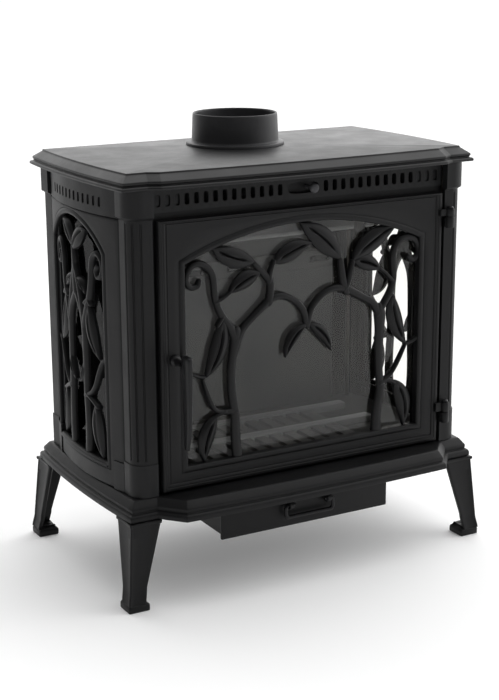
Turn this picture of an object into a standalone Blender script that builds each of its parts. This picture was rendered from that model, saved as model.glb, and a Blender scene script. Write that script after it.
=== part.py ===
"""Cast-iron wood burning stove with a tree-pattern door, on four cabriole legs.

Units are metres, +Z is up, -Y is the front and +X is the stove's left-hand side as it looks out
(the side that carries the door hinges).  The floor is z = 0.
"""
import math

import bmesh
import bpy
from mathutils import Vector

# ------------------------------------------------------------------ fits
TOUCH = 0.0003          # gap between pieces that rest on each other
RUNNING = 0.0005        # clearance of a piece that slides or turns on another
WELD = 0.000001         # points closer than this are one point

# ------------------------------------------------------------------ body and base
BODY_HALF_WIDTH = 0.3225
BODY_HALF_DEPTH = 0.170
BODY_HEIGHT = 0.507
LEG_HEIGHT = 0.150
BASE_THICKNESS = 0.033
BASE_PLATE_SKIN = 0.010
BASE_OVERHANG = 0.0131
BASE_FRONT_TRIM = 0.001
BASE_REAR_REACH = 0.007
BASE_RIM = 0.024
HEARTH_REACH = 0.045    # how far the hearth stands in front of the base plate's ears
LIP_OVERHANG = 0.006
LIP_HEIGHT = 0.013
TOP_THICKNESS = 0.0265
TOP_SKIN = 0.0105
TOP_OVERHANG = 0.011
TOP_FRONT_REACH = 0.0016
TOP_REAR_REACH = 0.0095
TOP_LIP = 0.0045
TOP_LIP_HEIGHT = 0.007
TOP_EDGE_DROP = 0.0065
TOP_RAISED_INSET = 0.011
TOP_RAISED_HEIGHT = 0.010
TOP_BOW = 0.010
TOP_RIM = 0.030
FRONT_REACH = 0.0155    # how far the top stands in front of its ears
EAR_WIDTH = 0.044
PLATE_CUT = 0.018       # width of the slanted face beside each ear
CROWN = 0.010           # how far a plate's front edge bows out

# ------------------------------------------------------------------ corner columns
COLUMN_WIDTH = 0.0395
COLUMN_DEPTH = 0.041
COLUMN_WALL = 0.008
COLUMN_TURN = 0.024     # rounding of a front column's outer corner
REAR_COLUMN_TURN = 0.004
COLUMN_FILLET = 0.004
COLUMN_STAND = 0.010    # how far a front column stands in front of the front frame
CAPITAL_HEIGHT = 0.045
CAPITAL_STAND = 0.006
PLINTH_HEIGHT = 0.056
PLINTH_STAND = 0.002
TIE_ROD_RADIUS = 0.004
TIE_ROD_INSET = 0.024
NUT_RADIUS = 0.008
NUT_HEIGHT = 0.0065

# ------------------------------------------------------------------ front frame and air slider
FRAME_THICKNESS = 0.010
HEADER_HEIGHT = 0.051
VENT_PITCH = 0.0172
VENT_WIDTH = 0.0085
VENT_HEIGHT = 0.018
VENT_COUNT = 11
VENT_DROP = 0.021       # from the body's top to the middle of the vent row
KNOB_SLOT_HALF = 0.029
KNOB_SLOT_LAND = 0.0154  # from the knob's slot to the middle of the first vent
SLIDER_THICKNESS = 0.002
SLIDER_HEIGHT = 0.028
GUIDE_LIP = 0.004
GUIDE_WALL = 0.002
GUIDE_STAND = 0.006
GUIDE_END = 0.004
KNOB_REST = 0.012
KNOB_RADIUS = 0.0085
KNOB_STEM = 0.0035
KNOB_STAND = 0.006

# ------------------------------------------------------------------ door
DOOR_THICKNESS = 0.014
DOOR_SIDE_GAP = 0.008
DOOR_FOOT_GAP = 0.004
DOOR_SEAL_GAP = 0.001
RAIL_WIDTH = 0.046      # the door's stiles
SILL_HEIGHT = 0.039     # the door's lower rail
CREST_HEIGHT = 0.025    # the door above the arch's apex
ARCH_RISE = 0.049
FRAME_LAP = 0.029       # how far the door laps the front frame at its sides
HEAD_LAP = 0.015
FOOT_LAP = 0.019
ROPE_WIDTH = 0.008
ROPE_INSET = 0.0085     # from the door's edge to the rope
ROPE_HEAD_INSET = 0.0035
ROPE_CHANNEL_DEPTH = 0.008
GLASS_THICKNESS = 0.004
GLASS_LAP = 0.014
GLASS_EDGE_GAP = 0.003
GASKET_THICKNESS = 0.0034
GLASS_FRAME_THICKNESS = 0.002
GLASS_FRAME_WIDTH = 0.010
GLASS_TOP_WIDTH = 0.004
GRILLE_BACK = 0.012     # from the door's front to the grille's back
GRILLE_DEPTH = 0.009
GRILLE_RIM = 0.005

# ------------------------------------------------------------------ hinges and latch
HINGE_STAND = 0.0195    # from the front frame's face to the hinge axis
HINGE_SIDE_GAP = 0.013  # from the door's edge to the hinge axis
KNUCKLE_RADIUS = 0.008
PIN_RADIUS = 0.0035
PIN_HEAD_RADIUS = 0.006
PIN_HEAD_HEIGHT = 0.004
HINGE_BLOCK_WIDTH = 0.019
UPPER_KNUCKLE = (0.041, 0.028)      # below the door's top: lower and upper face
LOWER_KNUCKLE = (0.0545, 0.072)      # above the door's foot: lower and upper face
HINGE_BLOCK_HEIGHT = 0.020
SPINDLE_RADIUS = 0.0045
SPINDLE_INSET = 0.021               # from the door's opening
TONGUE_GAP = 0.004
SPINDLE_HEIGHT = 0.223              # above the door's foot
SPINDLE_REACH = 0.029               # from the door's face to the grip
TONGUE_WIDTH = 0.010
TONGUE_LENGTH = 0.026
TONGUE_THICKNESS = 0.005
GRIP_THICKNESS = 0.010
GRIP_DEPTH = 0.026
GRIP_DROP = 0.140
GRIP_RISE = 0.022
GRIP_BALL = 0.0062

# ------------------------------------------------------------------ sides and back
SIDE_BOW = 0.020
SIDE_WALL = 0.0085
SIDE_OPEN_HALF = 0.102
SIDE_OPEN_MIDDLE = 0.010    # the opening stands behind the panel's middle by this
SIDE_SILL = 0.040
SIDE_CREST = 0.062
SIDE_ARCH_RISE = 0.052
SIDE_GRILLE_INSET = 0.005
SIDE_GRILLE_DEPTH = 0.008
SIDE_GLASS_GAP = 0.0015
SIDE_GLASS_LAP = 0.010
SIDE_FRAME_THICKNESS = 0.003
REAR_THICKNESS = 0.008

# ------------------------------------------------------------------ firebox
FIREBACK_THICKNESS = 0.008
FIREBACK_HEAD_GAP = 0.127           # from the fireback's top to the body's top
FIREBACK_SIDE_GAP = 0.0207
FIREBACK_GAP = 0.006
AIR_BAR_HEIGHT = 0.035
AIR_BAR_THICKNESS = 0.008
AIR_BAR_DROP = 0.109                # from the fireback's top to the bar's foot
AIR_BAR_INSET = 0.006
BOLT_RADIUS = 0.006
BOLT_HEAD = 0.005
BOLT_PAIR = 0.033
BOLT_PAIR_INNER = 0.046
BOLT_PAIR_INSET = 0.028             # from the bar's end to the outer pairs
LOCK_TAB = 0.0015
LOCK_TAB_HALF = 0.008
BAFFLE_THICKNESS = 0.008
BAFFLE_INSET = 0.028
BAFFLE_FRONT = -0.050
BAFFLE_CORNER = 0.025
HANGER_WIDTH = 0.020
HANGER_THICKNESS = 0.005
HANGER_FOOT = 0.026
HANGER_INSET = 0.044
GRATE_HALF_X = 0.165
GRATE_HALF_Y = 0.105
GRATE_THICKNESS = 0.010
GRATE_SEAT = 0.015
GRATE_SLOT = 0.010
GRATE_PITCH = 0.030
GRATE_BAND_EDGE = 0.018
GRATE_MIDDLE = (-0.030, 0.024)      # the plain band between the two slotted ones
RETAINER_HEIGHT = 0.020
RETAINER_THICKNESS = 0.008
RETAINER_GAP = 0.010
RETAINER_INSET = 0.026

# ------------------------------------------------------------------ ash drawer
ASH_RIB = 0.036
ASH_BOX_WALL = 0.0018
ASH_BOX_HEIGHT = 0.0637
ASH_BOX_FRONT = -0.177
ASH_BOX_REAR = 0.150
ASH_FLANGE = 0.030
ASH_BOX_SIDE = 0.010                # from the ash hole's edge to the box
DRAWER_FACE_GAP = 0.001
DRAWER_FACE_DROP = 0.0047
DRAWER_FACE_FOOT = 0.003
DRAWER_REAR_GAP = 0.005
DRAWER_WALL = 0.0015
DRAWER_SIDE_GAP = 0.001
DRAWER_HEAD_GAP = 0.008
DRAWER_FACE = 0.006
DRAWER_FACE_LAP = 0.008
BAIL_RADIUS = 0.0035
BAIL_HALF = 0.040
BAIL_DROP = 0.022
BAIL_BEND = 0.006
EYE_RADIUS = 0.0075
EYE_THICKNESS = 0.008
EYE_STAND = 0.010
EYE_BELOW_TOP = 0.020

# ------------------------------------------------------------------ flue and legs
FLUE_RADIUS = 0.075
FLUE_WALL = 0.004
FLUE_HEIGHT = 0.0555
FLUE_FLANGE = 0.012
FLUE_FLANGE_HEIGHT = 0.005
FLUE_Y = 0.063
FOOT_SIZE = 0.039
FOOT_HEIGHT = 0.012
LEG_WALL = 0.009
LEG_TOP_WIDTH = 0.047
ANKLE_WIDTH = 0.026
ANKLE_HEIGHT = 0.045
FOOT_SPREAD = 0.0142                # the feet stand out past the base plate's lip
REAR_FOOT_REACH = 0.005
LEG_INSET = 0.002
LEG_STATIONS = 9
ANKLE_CORNER = 0.78                 # share of the way in from the foot to the base's edge

# ------------------------------------------------------------------ worked-out levels
BASE_TOP = LEG_HEIGHT + BASE_THICKNESS
BODY_FOOT = BASE_TOP + TOUCH
BODY_TOP = BASE_TOP + BODY_HEIGHT
TOP_FACE = BODY_TOP + TOP_THICKNESS
BASE_HALF_WIDTH = BODY_HALF_WIDTH + BASE_OVERHANG
BASE_FRONT = -BODY_HALF_DEPTH - BASE_OVERHANG - COLUMN_STAND + BASE_FRONT_TRIM
BASE_REAR = BODY_HALF_DEPTH + BASE_OVERHANG + BASE_REAR_REACH
TOP_HALF_WIDTH = BODY_HALF_WIDTH + TOP_OVERHANG
TOP_FRONT = -BODY_HALF_DEPTH - TOP_OVERHANG - TOP_FRONT_REACH
TOP_REAR = BODY_HALF_DEPTH + TOP_OVERHANG + TOP_REAR_REACH
FRAME_FRONT = -BODY_HALF_DEPTH
FRAME_BACK = FRAME_FRONT + FRAME_THICKNESS
FRAME_HALF = BODY_HALF_WIDTH - COLUMN_WIDTH - TOUCH
DOOR_BACK = FRAME_FRONT - DOOR_SEAL_GAP
DOOR_FRONT = DOOR_BACK - DOOR_THICKNESS
DOOR_HALF = FRAME_HALF + TOUCH - DOOR_SIDE_GAP
DOOR_FOOT = BASE_TOP + DOOR_FOOT_GAP
DOOR_HEAD = BODY_TOP - HEADER_HEIGHT
OPEN_HALF = DOOR_HALF - RAIL_WIDTH
OPEN_FOOT = DOOR_FOOT + SILL_HEIGHT
OPEN_APEX = DOOR_HEAD - CREST_HEIGHT
HOLE_HALF = DOOR_HALF - FRAME_LAP
HOLE_FOOT = DOOR_FOOT + FOOT_LAP
HOLE_HEAD = DOOR_HEAD - HEAD_LAP
GASKET_FRONT = DOOR_BACK + TOUCH
GLASS_FRONT = GASKET_FRONT + GASKET_THICKNESS + TOUCH
GLASS_BACK = GLASS_FRONT + GLASS_THICKNESS
GLASS_HALF = OPEN_HALF + GLASS_LAP
GLASS_FOOT = HOLE_FOOT + GLASS_EDGE_GAP
GLASS_HEAD = HOLE_HEAD - GLASS_EDGE_GAP
HINGE_X = DOOR_HALF + HINGE_SIDE_GAP
HINGE_Y = FRAME_FRONT - HINGE_STAND
SPINDLE_X = -(OPEN_HALF + SPINDLE_INSET)
SPINDLE_Z = DOOR_FOOT + SPINDLE_HEIGHT
GRIP_BACK = DOOR_FRONT - SPINDLE_REACH
VENT_Z = BODY_TOP - VENT_DROP
VENT_FIRST = KNOB_SLOT_HALF + KNOB_SLOT_LAND
SLIDER_FRONT = FRAME_BACK + TOUCH
SLIDER_BACK = SLIDER_FRONT + SLIDER_THICKNESS
SLIDER_HALF = VENT_FIRST + (VENT_COUNT - 1) * VENT_PITCH + VENT_WIDTH
COLUMN_INNER_Y = BODY_HALF_DEPTH + COLUMN_STAND - COLUMN_DEPTH
SIDE_INNER = BODY_HALF_WIDTH - SIDE_WALL
SIDE_GLASS_OUTER = SIDE_INNER - SIDE_GLASS_GAP
SIDE_GLASS_INNER = SIDE_GLASS_OUTER - GLASS_THICKNESS
SIDE_FOOT = BASE_TOP + SIDE_SILL
SIDE_APEX = BODY_TOP - SIDE_CREST
REAR_INNER = BODY_HALF_DEPTH - REAR_THICKNESS
FIREBACK_REAR = REAR_INNER - FIREBACK_GAP
FIREBACK_FRONT = FIREBACK_REAR - FIREBACK_THICKNESS
FIREBACK_TOP = BODY_TOP - FIREBACK_HEAD_GAP
FIREBACK_HALF_WIDTH = FRAME_HALF - FIREBACK_SIDE_GAP
AIR_BAR_HALF = FIREBACK_HALF_WIDTH - AIR_BAR_INSET
AIR_BAR_FOOT = FIREBACK_TOP - AIR_BAR_DROP
BOLT_PAIR_OUTER = AIR_BAR_HALF - BOLT_PAIR_INSET
BAFFLE_HALF_WIDTH = FIREBACK_HALF_WIDTH - BAFFLE_INSET
HANGER_X = BAFFLE_HALF_WIDTH - HANGER_INSET
BAFFLE_FOOT = FIREBACK_TOP + TOUCH
BAFFLE_TOP = BAFFLE_FOOT + BAFFLE_THICKNESS
ASH_OPEN_X = GRATE_HALF_X - GRATE_SEAT
ASH_OPEN_Y = GRATE_HALF_Y - GRATE_SEAT
ASH_BOX_HALF = ASH_OPEN_X + ASH_BOX_SIDE
ASH_BOX_TOP = LEG_HEIGHT - TOUCH
ASH_BOX_FOOT = ASH_BOX_TOP - ASH_BOX_HEIGHT
DRAWER_HALF = ASH_BOX_HALF - ASH_BOX_WALL - DRAWER_SIDE_GAP
DRAWER_FOOT = ASH_BOX_FOOT + ASH_BOX_WALL + RUNNING
DRAWER_TOP = ASH_BOX_TOP - DRAWER_HEAD_GAP
DRAWER_BACK_FACE = ASH_BOX_FRONT - DRAWER_FACE_GAP
DRAWER_FRONT_FACE = DRAWER_BACK_FACE - DRAWER_FACE
DRAWER_FACE_HALF = ASH_BOX_HALF + DRAWER_FACE_LAP
DRAWER_FACE_TOP = ASH_BOX_TOP - DRAWER_FACE_DROP
BAIL_Z = DRAWER_FACE_TOP - EYE_BELOW_TOP
BAIL_Y = DRAWER_FRONT_FACE - EYE_STAND
FLUE_SEAT = TOP_FACE + TOUCH
FLUE_TOP = FLUE_SEAT + FLUE_HEIGHT - TOUCH
FOOT_X = BASE_HALF_WIDTH + LIP_OVERHANG + FOOT_SPREAD
FOOT_FRONT_Y = BASE_FRONT - LIP_OVERHANG - FOOT_SPREAD
FOOT_REAR_Y = BASE_REAR + LIP_OVERHANG + FOOT_SPREAD + REAR_FOOT_REACH
HEARTH_FRONT = BASE_FRONT - HEARTH_REACH - LIP_OVERHANG
FRAME_SHIFT_Y = -(HEARTH_FRONT + FOOT_REAR_Y) / 2   # centres the whole stove on the origin

# ------------------------------------------------------------------ tree pattern, as a share of its opening
# Each limb is a route of (across, up) points with a width at both ends; across is -1 to 1 and up is 0 to 1.
LEFT_TREE_LIMBS = (
    (((-0.59, -0.01), (-0.61, 0.10), (-0.61, 0.19), (-0.64, 0.38), (-0.62, 0.45), (-0.595, 0.53)), 0.080, 0.094),
    (((-0.60, 0.54), (-0.65, 0.585), (-0.74, 0.67), (-0.78, 0.765), (-0.79, 0.82), (-0.85, 0.862),
      (-0.95, 0.858), (-0.985, 0.83)), 0.056, 0.046),
    (((-0.60, 0.54), (-0.46, 0.605), (-0.32, 0.678), (-0.15, 0.67), (-0.05, 0.615), (0.0, 0.555)), 0.060, 0.046),
    (((-0.31, 0.67), (-0.31, 0.76), (-0.40, 0.815), (-0.46, 0.85)), 0.062, 0.044),
    (((-0.32, 0.77), (-0.31, 0.82), (-0.27, 0.875)), 0.050, 0.040),
    (((-0.63, 0.72), (-0.74, 0.695)), 0.036, 0.036),
    (((-0.71, 0.62), (-0.68, 0.60)), 0.036, 0.046),
    (((-0.88, 0.37), (-1.00, 0.41)), 0.030, 0.030),
    (((-0.87, 0.37), (-0.81, 0.27), (-0.70, 0.205), (-0.63, 0.20)), 0.032, 0.046),
    (((-0.79, 0.185), (-0.68, 0.205)), 0.032, 0.046),
    (((-0.99, 0.785), (-0.90, 0.785)), 0.042, 0.060),
)
LEFT_TREE_LEAVES = (
    ((-0.45, 0.845), (-0.80, 0.935), 0.085),
    ((-0.40, 0.80), (-0.69, 0.71), 0.072),
    ((-0.27, 0.865), (0.04, 0.905), 0.085),
    ((-0.70, 0.625), (-0.88, 0.36), 0.084),
    ((-0.77, 0.20), (-0.86, -0.01), 0.080),
    ((0.0, 0.555), (-0.19, 0.41), 0.052),
)
RIGHT_TREE_LIMBS = (
    (((0.63, -0.01), (0.64, 0.10), (0.665, 0.19), (0.65, 0.36), (0.65, 0.45), (0.64, 0.55)), 0.080, 0.094),
    (((0.64, 0.55), (0.50, 0.625), (0.34, 0.678), (0.16, 0.678), (0.05, 0.62), (0.0, 0.555)), 0.060, 0.046),
    (((0.33, 0.67), (0.30, 0.765), (0.28, 0.83)), 0.060, 0.042),
    (((0.34, 0.68), (0.375, 0.75), (0.40, 0.82)), 0.056, 0.044),
    (((0.64, 0.55), (0.72, 0.615), (0.77, 0.71), (0.765, 0.78), (0.80, 0.85), (0.90, 0.88), (0.985, 0.85)),
     0.060, 0.046),
    (((0.64, 0.715), (0.76, 0.69)), 0.036, 0.046),
    (((0.90, 0.385), (1.00, 0.405)), 0.030, 0.030),
    (((0.885, 0.38), (0.81, 0.29), (0.69, 0.225)), 0.032, 0.050),
    (((0.69, 0.215), (0.79, 0.205)), 0.046, 0.030),
    (((0.99, 0.785), (0.90, 0.795)), 0.042, 0.060),
)
RIGHT_TREE_LEAVES = (
    ((0.285, 0.82), (-0.05, 1.005), 0.094),
    ((0.39, 0.805), (0.80, 0.94), 0.090),
    ((0.38, 0.80), (0.67, 0.73), 0.072),
    ((0.75, 0.635), (0.885, 0.37), 0.080),
    ((0.79, 0.21), (0.875, -0.01), 0.080),
    ((0.0, 0.555), (0.21, 0.41), 0.052),
)
SIDE_TREE_LIMBS = (
    (((-0.32, -0.01), (-0.33, 0.20), (-0.30, 0.36), (-0.31, 0.50), (-0.30, 0.55)), 0.120, 0.140),
    (((-0.30, 0.55), (-0.44, 0.62), (-0.52, 0.72), (-0.54, 0.80), (-0.62, 0.868), (-0.76, 0.88), (-0.90, 0.85),
      (-0.99, 0.80)), 0.090, 0.070),
    (((-0.31, 0.54), (-0.18, 0.61), (0.02, 0.67)), 0.090, 0.080),
    (((0.0, 0.655), (-0.02, 0.74), (-0.12, 0.80)), 0.100, 0.070),
    (((-0.93, 0.42), (-1.00, 0.43)), 0.060, 0.060),
    (((-0.86, 0.42), (-0.66, 0.27), (-0.32, 0.21)), 0.060, 0.080),
    (((-0.50, 0.59), (-0.38, 0.57)), 0.070, 0.080),
    (((-0.99, 0.79), (-0.80, 0.79)), 0.080, 0.100),
)
SIDE_TREE_LEAVES = (
    ((-0.06, 0.78), (-0.52, 0.955), 0.150),
    ((0.0, 0.74), (-0.46, 0.74), 0.120),
    ((-0.50, 0.62), (-0.90, 0.40), 0.130),
    ((-0.58, 0.25), (-0.84, -0.01), 0.130),
)
LIMB_STEPS = 2
LEAF_STEPS = 4
SCROLL_EYE = ((-0.92, 0.785), (0.915, 0.79))
SIDE_SCROLL_EYE = ((-0.78, 0.80),)
SCROLL_RADIUS = 0.010
LAYER_STEP = 0.00012    # neighbouring limbs differ in depth by this, so no two faces coincide

# ------------------------------------------------------------------ colours: linear rgb, roughness, metallic
FINISHES = {
    "cast_iron": ((0.026, 0.027, 0.028), 0.62, 0.35),
    "steel": ((0.42, 0.42, 0.43), 0.38, 1.0),
    "dark_steel": ((0.030, 0.030, 0.032), 0.45, 0.80),
    "glass": ((0.82, 0.86, 0.85), 0.05, 0.0),
    "rope": ((0.62, 0.60, 0.55), 0.95, 0.0),
    "fire_plate": ((0.14, 0.14, 0.145), 0.75, 0.20),
}


# ================================================================== scene helpers
def clear_scene():
    """Remove what the file starts with."""
    for obj in list(bpy.data.objects):
        bpy.data.objects.remove(obj, do_unlink=True)


def new_collection(name):
    """Make a collection and link it to the scene."""
    group = bpy.data.collections.new(name)
    bpy.context.scene.collection.children.link(group)
    return group


def finish_material(name):
    """Make or find the Principled material of one finish."""
    found = bpy.data.materials.get(name)
    if found:
        return found
    colour, roughness, metallic = FINISHES[name]
    material = bpy.data.materials.new(name)
    material.use_nodes = True
    shader = material.node_tree.nodes["Principled BSDF"]
    shader.inputs["Base Color"].default_value = (*colour, 1.0)
    shader.inputs["Roughness"].default_value = roughness
    shader.inputs["Metallic"].default_value = metallic
    return material


def empty(name, location, parent=None):
    """Add an empty that carries the pieces of one moving body."""
    obj = bpy.data.objects.new(name, None)
    STOVE.objects.link(obj)
    obj.parent = parent
    obj.location = location
    return obj


def mesh_object(name, mesh, location=(0, 0, 0), rotation=(0, 0, 0)):
    """Put a mesh in the stove's collection."""
    obj = bpy.data.objects.new(name, mesh)
    STOVE.objects.link(obj)
    obj.location = location
    obj.rotation_euler = rotation
    return obj


def from_bmesh(name, shape, location=(0, 0, 0), rotation=(0, 0, 0)):
    """Turn a bmesh into an object."""
    mesh = bpy.data.meshes.new(name)
    shape.to_mesh(mesh)
    shape.free()
    return mesh_object(name, mesh, location, rotation)


def bake(obj, weld=0.0):
    """Replace an object's data with its evaluated mesh; a curve's loose caps are welded on."""
    graph = bpy.context.evaluated_depsgraph_get()
    graph.update()
    mesh = bpy.data.meshes.new_from_object(obj.evaluated_get(graph))
    if weld > 0:
        shape = bmesh.new()
        shape.from_mesh(mesh)
        bmesh.ops.remove_doubles(shape, verts=shape.verts, dist=weld)
        shape.to_mesh(mesh)
        shape.free()
    mesh.materials.clear()
    made = mesh_object(obj.name + "_mesh", mesh)
    made.matrix_world = obj.matrix_world.copy()
    name = obj.name
    bpy.data.objects.remove(obj, do_unlink=True)
    made.name = name
    return made


def combine(target, others, operation, solver="EXACT"):
    """Join to, or cut from, a solid with Booleans, and keep one plain mesh."""
    for number, other in enumerate(others):
        modifier = target.modifiers.new("boolean_%d" % number, "BOOLEAN")
        modifier.operation = operation
        modifier.solver = solver
        modifier.object = other
    made = bake(target)
    for other in others:
        bpy.data.objects.remove(other, do_unlink=True)
    return made


def join(target, others):
    """Unite solids into one body."""
    return combine(target, others, "UNION")


def cut(target, cutters):
    """Cut solids out of a body."""
    return combine(target, cutters, "DIFFERENCE")


# ================================================================== shape helpers
def flat(name, loops, low, high, plane="XY"):
    """A plate: closed outlines, the first outside and the rest holes, between two levels of the third axis."""
    curve = bpy.data.curves.new(name, "CURVE")
    curve.dimensions = "2D"
    curve.fill_mode = "BOTH"
    curve.extrude = (high - low) / 2
    for loop in loops:
        spline = curve.splines.new("POLY")
        spline.points.add(len(loop) - 1)
        spline.use_cyclic_u = True
        for point, (a, b) in zip(spline.points, loop):
            point.co = (a, b, 0, 1)
    middle = (low + high) / 2
    places = {
        "XY": ((0, 0, middle), (0, 0, 0)),
        "XZ": ((0, middle, 0), (math.pi / 2, 0, 0)),
        "YZ": ((middle, 0, 0), (math.pi / 2, 0, math.pi / 2)),
    }
    location, rotation = places[plane]
    obj = mesh_object(name, curve, location, rotation)
    bpy.context.view_layer.update()
    return bake(obj, WELD)


def box(name, low, high):
    """A block between two corners."""
    shape = bmesh.new()
    bmesh.ops.create_cube(shape, size=1.0)
    size = Vector(high) - Vector(low)
    bmesh.ops.scale(shape, vec=size, verts=shape.verts)
    return from_bmesh(name, shape, (Vector(low) + Vector(high)) / 2)


def boxes(name, corners):
    """Several blocks that don't meet, as one cutter."""
    shape = bmesh.new()
    for low, high in corners:
        made = bmesh.ops.create_cube(shape, size=1.0)
        size = Vector(high) - Vector(low)
        bmesh.ops.scale(shape, vec=size, verts=made["verts"])
        bmesh.ops.translate(shape, vec=(Vector(high) + Vector(low)) / 2, verts=made["verts"])
    return from_bmesh(name, shape)


def cylinder(name, centre, radius, length, axis="Z", sides=20):
    """A round bar about its middle."""
    shape = bmesh.new()
    bmesh.ops.create_cone(shape, cap_ends=True, segments=sides, radius1=radius, radius2=radius, depth=length)
    turn = {"Z": (0, 0, 0), "Y": (math.pi / 2, 0, 0), "X": (0, math.pi / 2, 0)}[axis]
    return smooth(from_bmesh(name, shape, centre, turn))


def turned(name, profile, location, rotation=(0, 0, 0), sides=24, closed=False):
    """A turned piece: a profile of (radius, height) points, running down its outer side, screwed about Z."""
    mesh = bpy.data.meshes.new(name)
    count = len(profile)
    edges = [(i, i + 1) for i in range(count - 1)]
    if closed:
        edges.append((count - 1, 0))
    mesh.from_pydata([(radius, 0, height) for radius, height in profile], edges, [])
    obj = mesh_object(name, mesh, location, rotation)
    screw = obj.modifiers.new("turn", "SCREW")
    screw.steps = sides
    screw.render_steps = sides
    screw.use_merge_vertices = True
    screw.merge_threshold = 0.00001
    bpy.context.view_layer.update()
    return smooth(bake(obj, WELD))


def rod(name, route, radius, resolution=2):
    """A bent round bar along a route of points, with filled ends."""
    curve = bpy.data.curves.new(name, "CURVE")
    curve.dimensions = "3D"
    curve.bevel_depth = radius
    curve.bevel_resolution = resolution
    curve.use_fill_caps = True
    spline = curve.splines.new("POLY")
    spline.points.add(len(route) - 1)
    for point, place in zip(spline.points, route):
        point.co = (*place, 1)
    obj = mesh_object(name, curve)
    bpy.context.view_layer.update()
    return smooth(bake(obj, WELD))


def smooth(obj):
    """Shade a round piece smooth, with its sharp edges kept."""
    obj.data.shade_smooth()
    obj.data.set_sharp_from_angle(angle=math.radians(35))
    return obj


def place(obj, finish, parent):
    """Give a finished piece its material and the body that carries it."""
    obj.data.materials.clear()
    obj.data.materials.append(finish_material(finish))
    obj.parent = parent
    obj.location = obj.location - carried_offset(parent)
    return obj


def carried_offset(parent):
    """How far a body's empty stands from the stove's own origin."""
    offset = Vector((0, 0, 0))
    while parent is not None and parent is not ROOT:
        offset += parent.location
        parent = parent.parent
    return offset


def mirrored(points):
    """An outline given for +X only, from the rear to the front, closed by its mirror."""
    return list(points) + [(-x, y) for x, y in reversed(points) if abs(x) > 1e-9]


def rectangle(half_width, low, high):
    """A rectangle about the middle line."""
    return [(-half_width, low), (half_width, low), (half_width, high), (-half_width, high)]


def arch(half_width, foot, apex, rise, grow=0.0, steps=14):
    """A round-headed opening; grow moves every side outwards by the same distance."""
    radius = (half_width ** 2 + rise ** 2) / (2 * rise)
    centre = apex - radius
    radius += grow
    half = half_width + grow
    spring = math.asin(half / radius)
    points = [(-half, foot - grow), (half, foot - grow)]
    for i in range(steps + 1):
        angle = spring - 2 * spring * i / steps
        points.append((radius * math.sin(angle), centre + radius * math.cos(angle)))
    return points


def plate_outline(half_width, front, rear, bow, reach, grow=0.0, crown=CROWN):
    """The plan of the top or the base: bowed sides, a square ear at each front corner, and a bowed front."""
    side = half_width + grow
    back = rear + grow
    ear = front - grow
    inner = half_width - EAR_WIDTH + grow * 0.4
    nose = inner - PLATE_CUT
    nose_y = front - reach + crown - grow
    points = []
    side_steps = 8
    for i in range(side_steps + 1):
        t = i / side_steps
        y = back + (ear - back) * t
        points.append((side + bow * (1 - (2 * t - 1) ** 2), y))
    points.append((inner, ear))
    front_steps = 6
    for i in range(front_steps + 1):
        t = i / front_steps
        x = nose * (1 - t)
        points.append((x, nose_y - crown * (1 - (x / nose) ** 2)))
    return mirrored(points)[::-1]


def side_bow(y):
    """How far the side panels stand out past the columns at one depth."""
    share = min(abs(y) / COLUMN_INNER_Y, 1.0)
    return SIDE_BOW * (1 - share ** 2)


def spread(route, steps):
    """A smooth route through its points (Catmull-Rom), with a few steps between each pair."""
    points = [Vector(p) for p in route]
    ends = [2 * points[0] - points[1]] + points + [2 * points[-1] - points[-2]]
    made = []
    for i in range(1, len(ends) - 2):
        p0, p1, p2, p3 = ends[i - 1], ends[i], ends[i + 1], ends[i + 2]
        for k in range(steps):
            t = k / steps
            made.append(0.5 * (2 * p1 + (p2 - p0) * t + (2 * p0 - 5 * p1 + 4 * p2 - p3) * t ** 2
                               + (3 * p1 - p0 - 3 * p2 + p3) * t ** 3))
    made.append(points[-1])
    return made


def limb_outline(route, start_width, end_width):
    """The flat outline of a limb: its route with half a width on each side."""
    points = spread(route, LIMB_STEPS)
    left, right = [], []
    for i, point in enumerate(points):
        ahead = points[min(i + 1, len(points) - 1)] - points[max(i - 1, 0)]
        normal = Vector((-ahead.y, ahead.x)).normalized()
        half = (start_width + (end_width - start_width) * i / (len(points) - 1)) / 2
        left.append(point + normal * half)
        right.append(point - normal * half)
    return [(p.x, p.y) for p in left + right[::-1]]


def leaf_outline(base, tip, width):
    """The flat outline of a leaf: full near its base and pointed at its tip."""
    base, tip = Vector(base), Vector(tip)
    along = tip - base
    normal = Vector((-along.y, along.x)).normalized()
    left, right = [], []
    for i in range(1, LEAF_STEPS + 1):
        t = i / (LEAF_STEPS + 1)
        half = width / 2 * math.sin(math.pi * t ** 0.8) ** 0.7
        left.append(base + along * t + normal * half)
        right.append(base + along * t - normal * half)
    stem = [base + normal * width * 0.16, base - normal * width * 0.16]
    return [(p.x, p.y) for p in [stem[0]] + left + [tip] + right[::-1] + [stem[1]]]


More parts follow.
